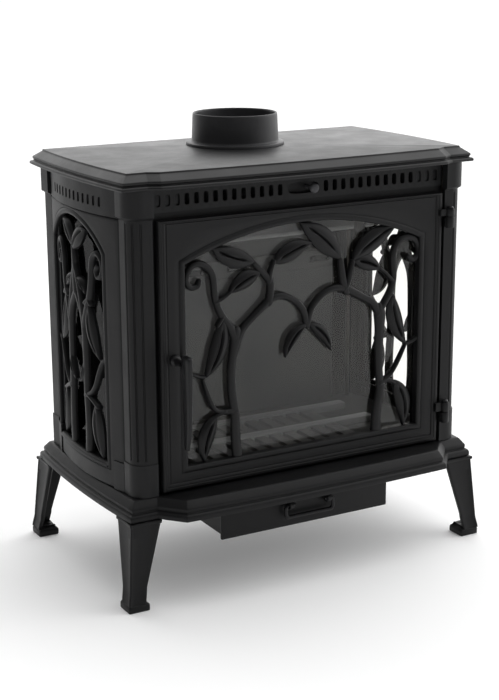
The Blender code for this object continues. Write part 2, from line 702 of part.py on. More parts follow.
def grille(name, limbs, leaves, eyes, opening, low, high, plane):
    """A tree grille: a rim that follows its opening, with limbs, leaves and scroll eyes joined to it."""
    half_width, foot, apex, rise = opening

    def put(point):
        across, up = point
        return (across * half_width, foot + up * (apex - foot))

    height = apex - foot
    rim_loops = [arch(half_width, foot, apex, rise, -TOUCH), arch(half_width, foot, apex, rise, -GRILLE_RIM)]
    rim = flat(name, rim_loops, low + 0.001, high - 0.001, plane)
    pieces = []
    layer = 0
    for route, start, end in limbs:
        layer = (layer + 1) % 7
        outline = limb_outline([put(p) for p in route], start * half_width, end * half_width)
        pieces.append(flat(name + "_limb", [outline], low + layer * LAYER_STEP, high - layer * LAYER_STEP, plane))
    for base, tip, width in leaves:
        layer = (layer + 1) % 7
        outline = leaf_outline(put(base), put(tip), width * height)
        pieces.append(flat(name + "_leaf", [outline], low + layer * LAYER_STEP, high - layer * LAYER_STEP, plane))
    for across, up in eyes:
        layer = (layer + 1) % 7
        x, z = put((across, up))
        ring = [(x + SCROLL_RADIUS * math.cos(k * math.pi / 5), z + SCROLL_RADIUS * math.sin(k * math.pi / 5))
                for k in range(10)]
        pieces.append(flat(name + "_eye", [ring], low + layer * LAYER_STEP, high - layer * LAYER_STEP, plane))
    made = combine(rim, pieces, "UNION", "MANIFOLD")
    outer = arch(half_width, foot, apex, rise, -TOUCH)
    trim = flat(name + "_trim", [outer], low - 0.002, high + 0.002, plane)
    return combine(made, [trim], "INTERSECT", "MANIFOLD")


# ================================================================== base, legs and columns
def build_base_plate():
    """The base: a plate with a moulded edge, a hollow underside, an ash hole and four tie-rod holes."""
    edge = plate_outline(BASE_HALF_WIDTH, BASE_FRONT, BASE_REAR, TOP_BOW, HEARTH_REACH)
    lip = plate_outline(BASE_HALF_WIDTH, BASE_FRONT, BASE_REAR, TOP_BOW, HEARTH_REACH, LIP_OVERHANG)
    plate = flat("base_plate", [edge], LEG_HEIGHT + 0.001, BASE_TOP)
    plate = combine(plate, [flat("base_lip", [lip], LEG_HEIGHT, LEG_HEIGHT + LIP_HEIGHT)], "UNION", "MANIFOLD")
    ceiling = BASE_TOP - BASE_PLATE_SKIN
    side = BASE_HALF_WIDTH - BASE_RIM
    front = BASE_FRONT + BASE_RIM
    rear = BASE_REAR - BASE_RIM
    rib_inner = ASH_BOX_HALF - 0.002
    rib_outer = rib_inner + ASH_RIB
    below = LEG_HEIGHT - 0.01
    pockets = [((-side, front, below), (-rib_outer, rear, ceiling)),
               ((rib_outer, front, below), (side, rear, ceiling)),
               ((-rib_inner, front, below), (rib_inner, rear, ceiling))]
    plate = cut(plate, [boxes("base_pockets", pockets)])
    hole = box("ash_hole", (-ASH_OPEN_X, -ASH_OPEN_Y, ceiling - 0.01), (ASH_OPEN_X, ASH_OPEN_Y, BASE_TOP + 0.01))
    plate = cut(plate, [hole] + rod_holes(ceiling - 0.01, BASE_TOP + 0.01))
    return place(plate, "cast_iron", ROOT)


def rod_places():
    """Where the four tie rods stand: name and plan position."""
    x = BODY_HALF_WIDTH - TIE_ROD_INSET
    front = -BODY_HALF_DEPTH - COLUMN_STAND + TIE_ROD_INSET + 0.003
    rear = BODY_HALF_DEPTH - TIE_ROD_INSET + 0.003
    return (("front_left", -x, front), ("front_right", x, front), ("rear_left", -x, rear), ("rear_right", x, rear))


def rod_holes(low, high):
    """Cutters for the tie rods' holes."""
    return [cylinder("rod_hole_" + name, (x, y, (low + high) / 2), TIE_ROD_RADIUS + RUNNING, high - low, sides=16)
            for name, x, y in rod_places()]


def build_tie_rods():
    """Four rods with a nut at the foot; they clamp the top plate to the base plate."""
    ceiling = BASE_TOP - BASE_PLATE_SKIN
    top = TOP_FACE - TOP_SKIN - TOUCH
    nut_top = ceiling - TOUCH
    foot = nut_top - NUT_HEIGHT
    for name, x, y in rod_places():
        shank = cylinder("tie_rod_" + name, (x, y, (foot - 0.004 + top) / 2), TIE_ROD_RADIUS, top - foot + 0.004,
                         sides=12)
        nut = cylinder("nut", (x, y, foot + NUT_HEIGHT / 2), NUT_RADIUS, NUT_HEIGHT, sides=6)
        place(join(shank, [nut]), "steel", ROOT)


def build_legs():
    """Four cabriole legs: an angle section that narrows to the ankle and flares to a square foot."""
    for name, sx, front in (("front_left", -1, True), ("front_right", 1, True),
                            ("rear_left", -1, False), ("rear_right", 1, False)):
        sy = -1 if front else 1
        foot_y = FOOT_FRONT_Y if front else FOOT_REAR_Y
        top_x = BASE_HALF_WIDTH - LEG_INSET
        top_y = (BASE_FRONT + LEG_INSET) if front else (BASE_REAR - LEG_INSET)
        rings = []
        for i in range(LEG_STATIONS):
            t = i / (LEG_STATIONS - 1)
            z = FOOT_HEIGHT * 0.6 + (LEG_HEIGHT - TOUCH - FOOT_HEIGHT * 0.6) * t
            corner, width = leg_shape(z)
            x = FOOT_X + (top_x - FOOT_X) * corner
            y = foot_y + (top_y - foot_y) * corner
            rings.append([(x - u, y - sy * v, z) for u, v in angle_section(width)])
        leg = loft("leg_" + name, rings, sx, sy)
        low = (FOOT_X - FOOT_SIZE, foot_y - sy * FOOT_SIZE, 0)
        high = (FOOT_X, foot_y, FOOT_HEIGHT)
        foot = box("foot", [min(sx * low[0], sx * high[0]), min(low[1], high[1]), 0],
                   [max(sx * low[0], sx * high[0]), max(low[1], high[1]), FOOT_HEIGHT])
        place(join(leg, [foot]), "cast_iron", ROOT)


def leg_shape(z):
    """A leg's outer corner (0 at the foot, 1 under the base) and its section's width at one height."""
    if z < ANKLE_HEIGHT:
        share = z / ANKLE_HEIGHT
        corner = ANKLE_CORNER * math.sin(share * math.pi / 2)
        width = FOOT_SIZE - 0.004 + (ANKLE_WIDTH - FOOT_SIZE + 0.004) * share
        return corner, width
    share = (z - ANKLE_HEIGHT) / (LEG_HEIGHT - ANKLE_HEIGHT)
    corner = ANKLE_CORNER + (1 - ANKLE_CORNER) * share - 0.30 * math.sin(share * math.pi) * share
    width = ANKLE_WIDTH + (LEG_TOP_WIDTH - ANKLE_WIDTH) * share ** 1.3
    return corner, width


def angle_section(width):
    """An angle of equal arms with its corner at 0, 0 and a small flat on the corner."""
    flat_edge = 0.003
    wall = min(LEG_WALL, width * 0.4)
    return [(flat_edge, 0), (width, 0), (width, wall), (wall, wall), (wall, width), (0, width), (0, flat_edge)]


def loft(name, rings, sx, sy):
    """Join unlike sections, bottom to top, into one closed solid."""
    shape = bmesh.new()
    grid = [[shape.verts.new((sx * x, y, z)) for x, y, z in ring] for ring in rings]
    count = len(rings[0])
    for lower, upper in zip(grid, grid[1:]):
        for k in range(count):
            n = (k + 1) % count
            shape.faces.new((lower[k], lower[n], upper[n], upper[k]))
    shape.faces.new(grid[0])
    shape.faces.new(grid[-1])
    bmesh.ops.recalc_face_normals(shape, faces=shape.faces)
    return from_bmesh(name, shape)


def column_plan(sx, front, grow):
    """The plan of a corner column, an angle with a rounded outer corner, as (x, y) points."""
    side = BODY_HALF_WIDTH + grow
    face = BODY_HALF_DEPTH + (COLUMN_STAND if front else 0.0)
    outer = face + grow
    inner_x = BODY_HALF_WIDTH - COLUMN_WIDTH
    inner_y = COLUMN_INNER_Y
    wall = COLUMN_WALL
    turn = COLUMN_TURN if front else REAR_COLUMN_TURN
    fillet = max(turn - COLUMN_FILLET, wall + REAR_COLUMN_TURN / 2)
    points = [(inner_x, face - wall), (inner_x, outer), (side - turn, outer)]
    arc_steps = 5
    for i in range(1, arc_steps + 1):
        angle = math.pi / 2 * (1 - i / arc_steps)
        points.append((side - turn + turn * math.cos(angle), outer - turn + turn * math.sin(angle)))
    points += [(side, inner_y), (BODY_HALF_WIDTH - wall, inner_y), (BODY_HALF_WIDTH - wall, face - fillet),
               (BODY_HALF_WIDTH - fillet, face - wall)]
    sy = -1 if front else 1
    return [(sx * x, sy * y) for x, y in points]


def build_columns():
    """Four corner columns, each with a plinth below and a capital above."""
    for name, sx, front in (("front_left", -1, True), ("front_right", 1, True),
                            ("rear_left", -1, False), ("rear_right", 1, False)):
        low = BODY_FOOT
        high = BODY_TOP - TOUCH
        shaft = flat("column_" + name, [column_plan(sx, front, 0.0)], low + 0.001, high - 0.001)
        plinth = flat("plinth", [column_plan(sx, front, PLINTH_STAND)], low, low + PLINTH_HEIGHT)
        capital = flat("capital", [column_plan(sx, front, CAPITAL_STAND)], high - CAPITAL_HEIGHT, high)
        place(join(shaft, [plinth, capital]), "cast_iron", ROOT)


# ================================================================== front frame and air slider
def vent_slots():
    """The open vents on both sides of the knob's slot, as outlines."""
    loops = []
    half = VENT_WIDTH / 2
    low = VENT_Z - VENT_HEIGHT / 2
    high = VENT_Z + VENT_HEIGHT / 2
    for side in (-1, 1):
        for k in range(VENT_COUNT):
            x = side * (VENT_FIRST + k * VENT_PITCH)
            loops.append([(x - half, low), (x + half, low), (x + half, high), (x - half, high)])
    return loops


def build_front_frame():
    """The cast front: door opening with a notch for the latch tongue, and the vented header."""
    notch_side = SPINDLE_X - TONGUE_WIDTH / 2 - 0.003
    notch_low = SPINDLE_Z - TONGUE_LENGTH - 0.004
    notch_high = SPINDLE_Z + TONGUE_WIDTH / 2 + 0.006
    opening = [(-HOLE_HALF, HOLE_FOOT), (HOLE_HALF, HOLE_FOOT), (HOLE_HALF, HOLE_HEAD), (-HOLE_HALF, HOLE_HEAD),
               (-HOLE_HALF, notch_high), (notch_side, notch_high), (notch_side, notch_low),
               (-HOLE_HALF, notch_low)]
    slot = rectangle(KNOB_SLOT_HALF, VENT_Z - VENT_HEIGHT / 2, VENT_Z + VENT_HEIGHT / 2)
    outer = rectangle(FRAME_HALF, BODY_FOOT, BODY_TOP - TOUCH)
    frame = flat("front_frame", [outer, opening, slot] + vent_slots(), FRAME_FRONT, FRAME_BACK, "XZ")
    place(frame, "cast_iron", ROOT)


def build_air_slider():
    """The sliding ventilator behind the header, its two guides and its knob."""
    low = VENT_Z - SLIDER_HEIGHT / 2
    high = VENT_Z + SLIDER_HEIGHT / 2
    body = empty("air_slider_body", (0, 0, 0), ROOT)
    loops = [rectangle(SLIDER_HALF, low, high)] + vent_slots()
    plate = flat("air_slider", loops, SLIDER_FRONT, SLIDER_BACK, "XZ")
    place(plate, "dark_steel", body)
    lip = SLIDER_BACK + TOUCH
    rear = lip + GUIDE_WALL
    for name, start, sign in (("air_guide_upper", high, 1), ("air_guide_lower", low, -1)):
        section = [(SLIDER_FRONT, start + sign * RUNNING), (lip, start + sign * RUNNING),
                   (lip, start - sign * GUIDE_LIP),
                   (rear, start - sign * GUIDE_LIP), (rear, start + sign * GUIDE_STAND),
                   (SLIDER_FRONT, start + sign * GUIDE_STAND)]
        guide_half = SLIDER_HALF + GUIDE_END
        place(flat(name, [section], -guide_half, guide_half, "YZ"), "dark_steel", ROOT)
    stem_length = FRAME_THICKNESS + KNOB_STAND
    profile = [(0, stem_length + 2 * KNOB_RADIUS * 0.8), (KNOB_RADIUS * 0.6, stem_length + KNOB_RADIUS * 1.45),
               (KNOB_RADIUS, stem_length + KNOB_RADIUS * 0.8),
               (KNOB_RADIUS * 0.6, stem_length + KNOB_RADIUS * 0.15),
               (KNOB_STEM, stem_length), (KNOB_STEM, 0), (0, 0)]
    knob = turned("air_knob", profile, (KNOB_REST, FRAME_BACK, VENT_Z), (math.pi / 2, 0, 0), 16)
    place(knob, "dark_steel", body)


# ================================================================== door
def build_door():
    """The door on its hinge axis: casting, tree grille, rope, glass with its tape and frame."""
    body = empty("door_body", (HINGE_X, HINGE_Y, 0), ROOT)
    arch_size = (OPEN_HALF, OPEN_FOOT, OPEN_APEX, ARCH_RISE)
    outer = rectangle(DOOR_HALF, DOOR_FOOT, DOOR_HEAD)
    frame = flat("door_frame", [outer, arch(*arch_size)], DOOR_FRONT, DOOR_BACK, "XZ")
    rope_out = (DOOR_HALF - ROPE_INSET, DOOR_FOOT + ROPE_INSET * 0.6, DOOR_HEAD - ROPE_HEAD_INSET)
    channel = [rectangle(rope_out[0] + 0.0005, rope_out[1] - 0.0005, rope_out[2] + 0.0005),
               rectangle(rope_out[0] - ROPE_WIDTH - 0.0005, rope_out[1] + ROPE_WIDTH + 0.0005,
                         rope_out[2] - ROPE_WIDTH - 0.0005)]
    groove = flat("rope_groove", channel, DOOR_BACK - ROPE_CHANNEL_DEPTH, DOOR_BACK + 0.01, "XZ")
    frame = cut(frame, [groove])
    knuckles = []
    bores = []
    for low, high in knuckle_levels():
        middle = (low + high) / 2
        knuckles.append(cylinder("knuckle", (HINGE_X, HINGE_Y, middle), KNUCKLE_RADIUS, high - low))
        knuckles.append(box("arm", (DOOR_HALF - 0.010, HINGE_Y - 0.003, low + 0.0005),
                            (HINGE_X - 0.001, DOOR_FRONT + 0.002, high - 0.0005)))
        bores.append(cylinder("bore", (HINGE_X, HINGE_Y, middle), PIN_RADIUS + RUNNING, high - low + 0.01))
    frame = join(frame, knuckles)
    spindle_hole = cylinder("spindle_hole", (SPINDLE_X, (DOOR_FRONT + DOOR_BACK) / 2, SPINDLE_Z),
                            SPINDLE_RADIUS + RUNNING, DOOR_THICKNESS + 0.02, "Y")
    frame = cut(frame, bores + [spindle_hole])
    place(frame, "cast_iron", body)

    limbs = LEFT_TREE_LIMBS + RIGHT_TREE_LIMBS
    leaves = LEFT_TREE_LEAVES + RIGHT_TREE_LEAVES
    back = DOOR_FRONT + GRILLE_BACK
    tree = grille("door_grille", limbs, leaves, SCROLL_EYE, arch_size, back - GRILLE_DEPTH, back, "XZ")
    place(tree, "cast_iron", body)

    rope = [rectangle(*rope_out), rectangle(rope_out[0] - ROPE_WIDTH, rope_out[1] + ROPE_WIDTH,
                                            rope_out[2] - ROPE_WIDTH)]
    rope_front = DOOR_BACK - ROPE_CHANNEL_DEPTH + TOUCH
    place(flat("door_rope", rope, rope_front, FRAME_FRONT - TOUCH, "XZ"), "rope", body)
    pane = rectangle(GLASS_HALF, GLASS_FOOT, GLASS_HEAD)
    window = rectangle(GLASS_HALF - GLASS_FRAME_WIDTH, GLASS_FOOT + GLASS_FRAME_WIDTH,
                       GLASS_HEAD - GLASS_TOP_WIDTH)
    place(flat("door_glass", [pane], GLASS_FRONT, GLASS_BACK, "XZ"), "glass", body)
    place(flat("door_glass_tape", [pane, window], GASKET_FRONT, GLASS_FRONT - TOUCH, "XZ"), "rope", body)
    clip_front = GLASS_BACK + TOUCH
    clip = flat("door_glass_frame", [pane, window], clip_front, clip_front + GLASS_FRAME_THICKNESS, "XZ")
    place(clip, "dark_steel", body)
    build_latch(body)


def knuckle_levels():
    """Lower and upper face of the two door knuckles."""
    return ((DOOR_HEAD - UPPER_KNUCKLE[0], DOOR_HEAD - UPPER_KNUCKLE[1]),
            (DOOR_FOOT + LOWER_KNUCKLE[0], DOOR_FOOT + LOWER_KNUCKLE[1]))


def build_hinges():
    """The fixed halves of the hinges: a bored block on the column and a headed pin in each."""
    seats = (0.0, PLINTH_STAND)
    for name, (low, high), stand in zip(("upper", "lower"), knuckle_levels(), seats):
        top = low - RUNNING
        foot = top - HINGE_BLOCK_HEIGHT
        front = HINGE_Y - KNUCKLE_RADIUS
        back = -BODY_HALF_DEPTH - COLUMN_STAND - stand - TOUCH
        half = HINGE_BLOCK_WIDTH / 2
        block = box("hinge_block_" + name, (HINGE_X - half, front, foot), (HINGE_X + half + 0.002, back, top))
        middle = (foot + top) / 2
        bore = cylinder("bore", (HINGE_X, HINGE_Y, middle), PIN_RADIUS + TOUCH, HINGE_BLOCK_HEIGHT + 0.01)
        place(cut(block, [bore]), "cast_iron", ROOT)
        head = high + RUNNING
        profile = [(0, head + PIN_HEAD_HEIGHT), (PIN_HEAD_RADIUS * 0.7, head + PIN_HEAD_HEIGHT),
                   (PIN_HEAD_RADIUS, head + PIN_HEAD_HEIGHT * 0.5), (PIN_HEAD_RADIUS, head), (PIN_RADIUS, head),
                   (PIN_RADIUS, foot), (0, foot)]
        place(turned("hinge_pin_" + name, profile, (HINGE_X, HINGE_Y, 0), sides=20), "steel", ROOT)


def build_latch(door):
    """The latch: a spindle through the door, a hanging grip outside and a tongue inside."""
    body = empty("latch_body", (SPINDLE_X - HINGE_X, DOOR_FRONT - HINGE_Y, SPINDLE_Z), door)
    tongue_front = FRAME_BACK + TONGUE_GAP
    inner_end = -(tongue_front - TOUCH - DOOR_FRONT)
    outer_end = SPINDLE_REACH - TOUCH
    profile = [(0, outer_end), (SPINDLE_RADIUS, outer_end), (SPINDLE_RADIUS, 0.009), (0.0085, 0.006),
               (0.010, 0.003), (0.010, RUNNING), (SPINDLE_RADIUS, RUNNING), (SPINDLE_RADIUS, inner_end),
               (0, inner_end)]
    spindle = turned("latch_spindle", profile, (SPINDLE_X, DOOR_FRONT, SPINDLE_Z), (math.pi / 2, 0, 0), 20)
    place(spindle, "dark_steel", body)
    half = TONGUE_WIDTH / 2
    tongue = box("latch_tongue", (SPINDLE_X - half, tongue_front, SPINDLE_Z - TONGUE_LENGTH),
                 (SPINDLE_X + half, tongue_front + TONGUE_THICKNESS, SPINDLE_Z + half))
    place(tongue, "dark_steel", body)
    top = SPINDLE_Z + GRIP_RISE
    foot = SPINDLE_Z - GRIP_DROP
    depth = GRIP_DEPTH
    inner_edge = [(GRIP_BACK - depth * s, foot + (top - foot) * t)
                  for s, t in ((0.62, 0.0), (0.45, 0.10), (0.27, 0.26), (0.12, 0.48), (0.0, 0.75), (0.0, 0.96))]
    outer_edge = [(GRIP_BACK - depth * s, foot + (top - foot) * t)
                  for s, t in ((0.30, 1.0), (0.72, 0.98), (0.97, 0.90), (1.0, 0.70), (0.95, 0.45), (0.90, 0.22),
                               (0.92, 0.0))]
    blade = flat("latch_grip", [inner_edge + outer_edge], SPINDLE_X - GRIP_THICKNESS / 2,
                 SPINDLE_X + GRIP_THICKNESS / 2, "YZ")
    shape = bmesh.new()
    bmesh.ops.create_uvsphere(shape, u_segments=12, v_segments=8, radius=GRIP_BALL)
    ball = from_bmesh("ball", shape, (SPINDLE_X, GRIP_BACK - depth * 0.76, foot))
    place(join(blade, [ball]), "cast_iron", body)


# ================================================================== sides and back
def build_sides():
    """The bowed side panels with their arched windows, tree grilles, glass and inner frames."""
    for name, sx in (("left", -1), ("right", 1)):
        half_depth = COLUMN_INNER_Y - TOUCH
        steps = 12
        plan = [(sx * SIDE_INNER, -half_depth)]
        for i in range(steps + 1):
            y = -half_depth + 2 * half_depth * i / steps
            plan.append((sx * (BODY_HALF_WIDTH + side_bow(y)), y))
        plan.append((sx * SIDE_INNER, half_depth))
        panel = flat("side_panel_" + name, [plan], BODY_FOOT, BODY_TOP - TOUCH)
        opening = (SIDE_OPEN_HALF, SIDE_FOOT, SIDE_APEX, SIDE_ARCH_RISE)
        reach = sorted((sx * (SIDE_INNER - 0.02), sx * (BODY_HALF_WIDTH + SIDE_BOW + 0.02)))
        panel = cut(panel, [set_back(flat("side_hole", [arch(*opening)], reach[0], reach[1], "YZ"))])
        place(panel, "cast_iron", ROOT)

        limbs = SIDE_TREE_LIMBS + tuple((tuple((-a, u) for a, u in route), w0, w1) for route, w0, w1 in
                                        SIDE_TREE_LIMBS)
        far_leaves = tuple(((-b[0], b[1]), (-t[0], t[1] + 0.002), w) for b, t, w in SIDE_TREE_LEAVES)
        leaves = SIDE_TREE_LEAVES + far_leaves
        eyes = SIDE_SCROLL_EYE + tuple((-a, u) for a, u in SIDE_SCROLL_EYE)
        outer = BODY_HALF_WIDTH - SIDE_GRILLE_INSET
        ends = sorted((sx * (outer - SIDE_GRILLE_DEPTH), sx * outer))
        lattice = grille("side_grille_" + name, limbs, leaves, eyes, opening, ends[0], ends[1], "YZ")
        bow_out(set_back(lattice), sx)
        place(lattice, "cast_iron", ROOT)

        lap = SIDE_GLASS_LAP
        pane = [(-SIDE_OPEN_HALF - lap, SIDE_FOOT - lap), (SIDE_OPEN_HALF + lap, SIDE_FOOT - lap),
                (SIDE_OPEN_HALF + lap, SIDE_APEX + lap), (-SIDE_OPEN_HALF - lap, SIDE_APEX + lap)]
        window = [(-SIDE_OPEN_HALF, SIDE_FOOT), (SIDE_OPEN_HALF, SIDE_FOOT), (SIDE_OPEN_HALF, SIDE_APEX),
                  (-SIDE_OPEN_HALF, SIDE_APEX)]
        ends = sorted((sx * SIDE_GLASS_OUTER, sx * SIDE_GLASS_INNER))
        place(set_back(flat("side_glass_" + name, [pane], ends[0], ends[1], "YZ")), "glass", ROOT)
        inner = SIDE_GLASS_INNER - TOUCH
        ends = sorted((sx * inner, sx * (inner - SIDE_FRAME_THICKNESS)))
        frame = set_back(flat("side_glass_frame_" + name, [pane, window], ends[0], ends[1], "YZ"))
        place(frame, "dark_steel", ROOT)


def set_back(obj):
    """Move a piece of a side's opening from the panel's middle to the opening's."""
    obj.location.y += SIDE_OPEN_MIDDLE
    bpy.context.view_layer.update()
    return obj


def bow_out(obj, sx):
    """Bow a flat side piece outwards, as its panel bows."""
    turn = obj.matrix_world.copy()
    back = turn.inverted()
    for vertex in obj.data.vertices:
        world = turn @ vertex.co
        world.x += sx * side_bow(world.y)
        vertex.co = back @ world
    return obj


def build_rear_panel():
    """The cast back between the rear columns."""
    outer = rectangle(FRAME_HALF, BODY_FOOT, BODY_TOP - TOUCH)
    place(flat("rear_panel", [outer], REAR_INNER, BODY_HALF_DEPTH, "XZ"), "cast_iron", ROOT)


# ================================================================== top and flue
def build_top():
    """The top plate with its moulded edge and flue hole, and the collar that stands on it."""
    middle = plate_outline(TOP_HALF_WIDTH, TOP_FRONT, TOP_REAR, TOP_BOW, FRONT_REACH)
    lip = plate_outline(TOP_HALF_WIDTH, TOP_FRONT, TOP_REAR, TOP_BOW, FRONT_REACH, TOP_LIP)
    raised = plate_outline(TOP_HALF_WIDTH, TOP_FRONT, TOP_REAR, TOP_BOW, FRONT_REACH,
                           -TOP_RAISED_INSET)
    plate = flat("top_plate", [middle], BODY_TOP + 0.001, TOP_FACE - TOP_EDGE_DROP)
    tiers = [flat("top_lip", [lip], BODY_TOP, BODY_TOP + TOP_LIP_HEIGHT),
             flat("top_raised", [raised], TOP_FACE - TOP_RAISED_HEIGHT, TOP_FACE)]
    plate = combine(plate, tiers, "UNION", "MANIFOLD")
    side = BODY_HALF_WIDTH - TOP_RIM + 0.015
    pocket = box("top_pocket", (-side, -BODY_HALF_DEPTH + 0.008, BODY_TOP - 0.01),
                 (side, REAR_INNER, TOP_FACE - TOP_SKIN))
    hole = cylinder("flue_hole", (0, FLUE_Y, TOP_FACE), FLUE_RADIUS - FLUE_WALL, 0.08, sides=32)
    place(cut(plate, [pocket, hole]), "cast_iron", ROOT)
    inner = FLUE_RADIUS - FLUE_WALL
    foot = FLUE_SEAT
    edge = foot + FLUE_FLANGE_HEIGHT
    draft = 0.002
    profile = [(inner, FLUE_TOP - 0.001), (inner + 0.001, FLUE_TOP), (FLUE_RADIUS - 0.001, FLUE_TOP),
               (FLUE_RADIUS, FLUE_TOP - 0.001),
               (FLUE_RADIUS + draft, edge), (FLUE_RADIUS + FLUE_FLANGE - 0.002, edge),
               (FLUE_RADIUS + FLUE_FLANGE, edge - 0.002), (FLUE_RADIUS + FLUE_FLANGE, foot), (inner, foot)]
    place(turned("flue_collar", profile, (0, FLUE_Y, 0), sides=32, closed=True), "cast_iron", ROOT)


# ================================================================== firebox
def build_firebox():
    """What the fire needs: fireback, air bar, baffle with hangers, grate and log retainer."""
    back = flat("fireback", [rectangle(FIREBACK_HALF_WIDTH, BODY_FOOT, FIREBACK_TOP)], FIREBACK_FRONT,
                FIREBACK_REAR, "XZ")
    place(back, "fire_plate", ROOT)
    bar_back = FIREBACK_FRONT - TOUCH
    bar_front = bar_back - AIR_BAR_THICKNESS
    place(box("air_bar", (-AIR_BAR_HALF, bar_front, AIR_BAR_FOOT),
              (AIR_BAR_HALF, bar_back, AIR_BAR_FOOT + AIR_BAR_HEIGHT)), "fire_plate", ROOT)
    bolt_z = AIR_BAR_FOOT + AIR_BAR_HEIGHT / 2
    tab_back = bar_front - TOUCH
    tab_front = tab_back - LOCK_TAB
    pairs = (("1", -BOLT_PAIR_OUTER), ("2", -BOLT_PAIR_INNER), ("3", BOLT_PAIR_INNER), ("4", BOLT_PAIR_OUTER))
    for name, x in pairs:
        reach = BOLT_PAIR / 2 + BOLT_RADIUS + 0.001
        tab = box("air_bar_bolts_" + name, (x - reach, tab_front, bolt_z - LOCK_TAB_HALF),
                  (x + reach, tab_back, bolt_z + LOCK_TAB_HALF))
        head_y = tab_front - BOLT_HEAD / 2 + 0.0005
        heads = [cylinder("head", (x + s * BOLT_PAIR / 2, head_y, bolt_z), BOLT_RADIUS, BOLT_HEAD + 0.001, "Y", 6)
                 for s in (-1, 1)]
        place(join(tab, heads), "dark_steel", ROOT)

    corner = BAFFLE_CORNER
    half = BAFFLE_HALF_WIDTH
    rear = FIREBACK_REAR
    plan = [(-half, rear), (-half, BAFFLE_FRONT + corner)]
    arc_steps = 5
    for i in range(1, arc_steps + 1):
        angle = math.pi / 2 * i / arc_steps
        plan.append((-half + corner - corner * math.cos(angle),
                     BAFFLE_FRONT + corner - corner * math.sin(angle)))
    plan += [(-x, y) for x, y in reversed(plan)]
    place(flat("baffle_plate", [plan], BAFFLE_FOOT, BAFFLE_TOP), "fire_plate", ROOT)
    strap_back = BAFFLE_FRONT - TOUCH
    strap_front = strap_back - HANGER_THICKNESS
    strap_foot = BAFFLE_FOOT - TOUCH - HANGER_THICKNESS
    strap_top = TOP_FACE - TOP_SKIN - TOUCH
    hook = [(strap_front, strap_foot), (strap_back + HANGER_FOOT, strap_foot),
            (strap_back + HANGER_FOOT, strap_foot + HANGER_THICKNESS), (strap_back, strap_foot + HANGER_THICKNESS),
            (strap_back, strap_top), (strap_front, strap_top)]
    for name, sx in (("left", -1), ("right", 1)):
        ends = sorted((sx * (HANGER_X - HANGER_WIDTH / 2), sx * (HANGER_X + HANGER_WIDTH / 2)))
        place(flat("baffle_hanger_" + name, [hook], ends[0], ends[1], "YZ"), "dark_steel", ROOT)

    low = BASE_TOP + TOUCH
    plate = rectangle(GRATE_HALF_X, -GRATE_HALF_Y, GRATE_HALF_Y)
    slots = []
    columns = int((GRATE_HALF_X - GRATE_SEAT - GRATE_SLOT) / GRATE_PITCH)
    bands = ((-GRATE_HALF_Y + GRATE_BAND_EDGE, GRATE_MIDDLE[0]),
             (GRATE_MIDDLE[1], GRATE_HALF_Y - GRATE_BAND_EDGE))
    for k in range(-columns, columns + 1):
        x = k * GRATE_PITCH
        for start, end in bands:
            slots.append([(x - GRATE_SLOT / 2, start), (x + GRATE_SLOT / 2, start), (x + GRATE_SLOT / 2, end),
                          (x - GRATE_SLOT / 2, end)])
    place(flat("grate", [plate] + slots, low, low + GRATE_THICKNESS), "fire_plate", ROOT)
    bar_front = FRAME_BACK + RETAINER_GAP
    half = HOLE_HALF - RETAINER_INSET
    place(box("log_retainer", (-half, bar_front, low),
              (half, bar_front + RETAINER_THICKNESS, low + RETAINER_HEIGHT)), "fire_plate", ROOT)


# ================================================================== ash box and drawer
def build_ash_box():
    """The sheet-steel box under the base, with a flange on each side, open to the front and the top."""
    half = ASH_BOX_HALF
    wall = ASH_BOX_WALL
    reach = half + ASH_FLANGE
    top = ASH_BOX_TOP
    foot = ASH_BOX_FOOT
    section = [(-reach, top), (-reach, top - wall), (-half, top - wall), (-half, foot), (half, foot),
               (half, top - wall), (reach, top - wall), (reach, top), (half - wall, top),
               (half - wall, foot + wall),
               (-half + wall, foot + wall), (-half + wall, top)]
    shell = flat("ash_box", [section], ASH_BOX_FRONT, ASH_BOX_REAR, "XZ")
    rear = box("ash_box_rear", (-half + wall / 2, ASH_BOX_REAR - wall, foot + wall / 2),
               (half - wall / 2, ASH_BOX_REAR - wall * 0.1, top - wall * 0.1))
    place(join(shell, [rear]), "dark_steel", ROOT)


